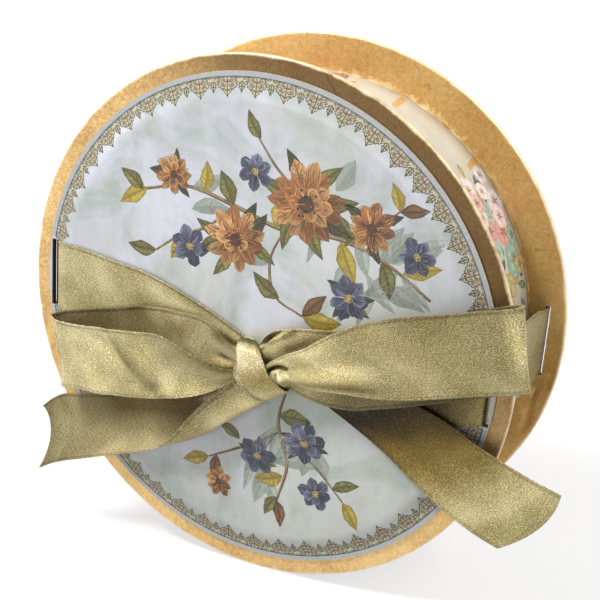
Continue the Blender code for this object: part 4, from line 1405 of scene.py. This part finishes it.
def left_tail_tone(run, share):
    """The left tail's painted light: bright by the knot, darkest where the loop shades its upper edge."""
    near = graded(share, (0, (0.62, 0.6, 0.52)), (0.3, (1.25, 1.23, 1.18)), (0.9, DIM_SHADE))
    shaded = graded(share, (0.4, PLAIN), (0.6, (0.7, 0.68, 0.6)), (0.8, (0.24, 0.21, 0.15)),
                    (1, (0.2, 0.17, 0.12)))
    amount = graded(run, (0.24, (0,)), (0.3, (1,)), (0.66, (1,)), (0.86, (0.1,)))[0]
    level = graded(run, (0.3, (0.8, 0.78, 0.7)), (0.4, (0.9, 0.88, 0.82)), (0.55, (1.9, 1.86, 1.76)),
                   (0.74, (1.6, 1.58, 1.5)), (0.84, (1.1, 1.07, 1.0)), (0.91, (1.02, 1.0, 0.93)),
                   (0.94, (1.4, 1.4, 1.32)))
    far = tuple(a * b for a, b in zip(level, mixed_tone(PLAIN, shaded, amount)))
    return mixed_tone(near, far, graded(run, (0.24 - 0.08 * share, (0,)), (0.37 - 0.11 * share, (1,)))[0])


def right_tail_tone(run, share):
    """The right tail's painted shade: black-brown in the loop's shadow, amber in the middle where the gold's
    reflection is painted, and paler towards its end.
    """
    return graded(run - 0.1 * (0.5 - share), (0.42, DEEP), (0.5, (0.15, 0.11, 0.04)),
                  (0.6, (0.34, 0.26, 0.1)), (0.68, (0.48, 0.4, 0.2)), (0.8, (0.84, 0.82, 0.7)),
                  (0.88, (0.9, 0.89, 0.82)), (0.93, (0.68, 0.67, 0.58)), (1, (0.62, 0.61, 0.52)))


grid = ribbon_grid(LEFT_LOOP_TOP, LEFT_LOOP_BOTTOM, waves=0.5, phase=math.pi / 2,
                   gather=lambda share: 0.3 if share > 0.5 else 0.1)
grid = creased(grid, [
    (10, 18, -2.3, 3.2, (-71, -16), (-62, -24), (-56, -32), (-53, -36)),
    (10, 18, 1.5, 3.4, (-62, -13), (-53, -24), (-49, -31), (-47, -34)),
    (10, 18, -1.6, 2.8, (-44, -12), (-41, -22), (-39, -34)),
    (10, 18, 1.4, 4.0, (-34, -14), (-32, -24), (-30, -32)),
    (10, 18, 1.5, 5.0, (-88, -24), (-80, -36), (-74, -45)),
    (0, 6, 1.6, 4.0, (-36, -4), (-30, -12), (-20, -20)),
    (0, 8, -1.2, 4.0, (-60, -6), (-50, -14), (-40, -26)),
])
ribbon_piece("loop_left", grid, "lid", "bow_loop_left", True,
             left_loop_tone)
grid = ribbon_grid(RIGHT_LOOP_TOP, RIGHT_LOOP_BOTTOM, waves=1.5, phase=2.6, gather=lambda share: 0.06)
grid = creased(grid, [
    (15, 21, 2.8, 2.5, (16.5, -15), (20, -13.8), (22.6, -15.4)),
    (15, 21, -5.4, 0.7, (11.5, -16.4), (14.4, -13.6), (16.6, -11.4), (19.1, -9.9), (21.6, -9.3),
     (23.6, -9.6)),
    (15, 21, 0.8, 1.4, (14.6, -11.2), (17.6, -8.4), (21.4, -7.2), (25, -8), (26.2, -10.6)),
    (16, 21, -1.8, 0.4, (19.4, -13), (20.8, -15), (21.8, -17.4)),
    (12, 17, -0.7, 4.5, (36, -4), (50, -2), (66, 2)),
    (0, 5, -3.0, 1.4, (9.2, -3), (11.1, -0.5), (13, 1.5), (15.4, 3.3)),
    (0, 5, 1.3, 0.8, (8.3, -4.8), (13.4, -0.2), (18.2, 3.5), (23, 7.4)),
])
ribbon_piece("loop_right", grid, "lid", "bow_loop_right", False,
             right_loop_tone)
tail = notched(ribbon_grid(LEFT_TAIL_UPPER, LEFT_TAIL_LOWER, LEFT_TAIL_MIDDLE), 0.08)
ribbon_piece("tail_left", tail, "lid", "bow_tail_left", False, left_tail_tone)
tail = notched(ribbon_grid(RIGHT_TAIL_UPPER, RIGHT_TAIL_LOWER, waves=2, gather=lambda share: 0.05), -0.03)
ribbon_piece("tail_right", tail, "lid", "bow_tail_right", True, right_tail_tone)


# The knot: a short turn of the ribbon, folded in three into a band and pulled tight round the
# bow, and the selvage of the fold under it, which peeps out at the band's lower left.
BAND_LEFT = [(-4, -4, 5), (-3, -4.7, 9), (-2, -6.4, 12), (-1.1, -8.3, 13), (0.3, -14.1, 13.9),
             (1, -19.4, 13.5), (3.4, -23.2, 12.4), (6.2, -27, 10.6), (9, -29.4, 8.6), (11.4, -30.7, 6),
             (12.2, -30.4, 3.4), (10.6, -28.4, 1.6), (5, -22, 1.0), (-1, -13, 1.0), (-4, -5.6, 1.6),
             (-4, -4, 5)]
BAND_RIGHT = [(4.6, -4.2, 5), (8.4, -4.4, 9.5), (10.5, -5.3, 12.2), (11.8, -6.7, 13.4), (14.2, -9.9, 14.3),
              (16.2, -14.1, 14), (19, -17.2, 13), (21.3, -20, 11.2), (22.8, -22, 9), (23, -22.9, 6),
              (21.6, -22.4, 3.2), (19, -20.4, 1.6), (11, -14, 1.0), (5, -8.4, 1.0), (2.4, -5, 1.6),
              (4, -4.4, 5)]
FOLD_LEFT = [(-2.6, -14, 11.4), (-3.2, -19.4, 11.2), (-1.6, -22.6, 11.2), (1.2, -25.8, 10.6), (4, -28.4, 9.4),
             (6.6, -30.8, 7.6), (8.8, -32.2, 5.4), (9.6, -32, 3)]
FOLD_RIGHT = [(7, -13, 12.4), (7, -16, 12.4), (8.6, -17.6, 12), (11, -19.4, 11.2), (13.6, -21.4, 9.8),
              (15.6, -23.4, 8), (17, -24.6, 6), (17.4, -24.8, 3.4)]
BAND_WIDTH = 0.0145
FOLD_WIDTH = 0.0112


def knot_tone(run, share):
    """The knot's painted light: a highlight over its front, and amber shade where it turns under."""
    return graded(run, (0, (0.12, 0.11, 0.09)), (0.05, (0.25, 0.24, 0.2)), (0.085, (0.9, 0.89, 0.85)),
                  (0.14, (1.4, 1.4, 1.62)), (0.21, (1.36, 1.33, 1.5)), (0.26, (0.96, 0.88, 0.74)),
                  (0.31, (0.84, 0.75, 0.52)), (0.37, (0.95, 0.88, 0.68)), (0.43, (1.2, 1.16, 1.0)))


band = shaped(ribbon_grid(BAND_LEFT, BAND_RIGHT),
              lambda i, s: 0.7 - 1.1 * abs(2 * s - 1) ** 6 + 0.12 * math.sin(16 * s + 0.6 * i))
ribbon_piece("knot_band", band, "lid", "bow_knot", False, knot_tone, BAND_WIDTH)
ribbon_piece("knot_fold", ribbon_grid(FOLD_LEFT, FOLD_RIGHT), "lid", None, False,
             even, FOLD_WIDTH, (FOLD_WIDTH - RIBBON_WIDTH) / 2)
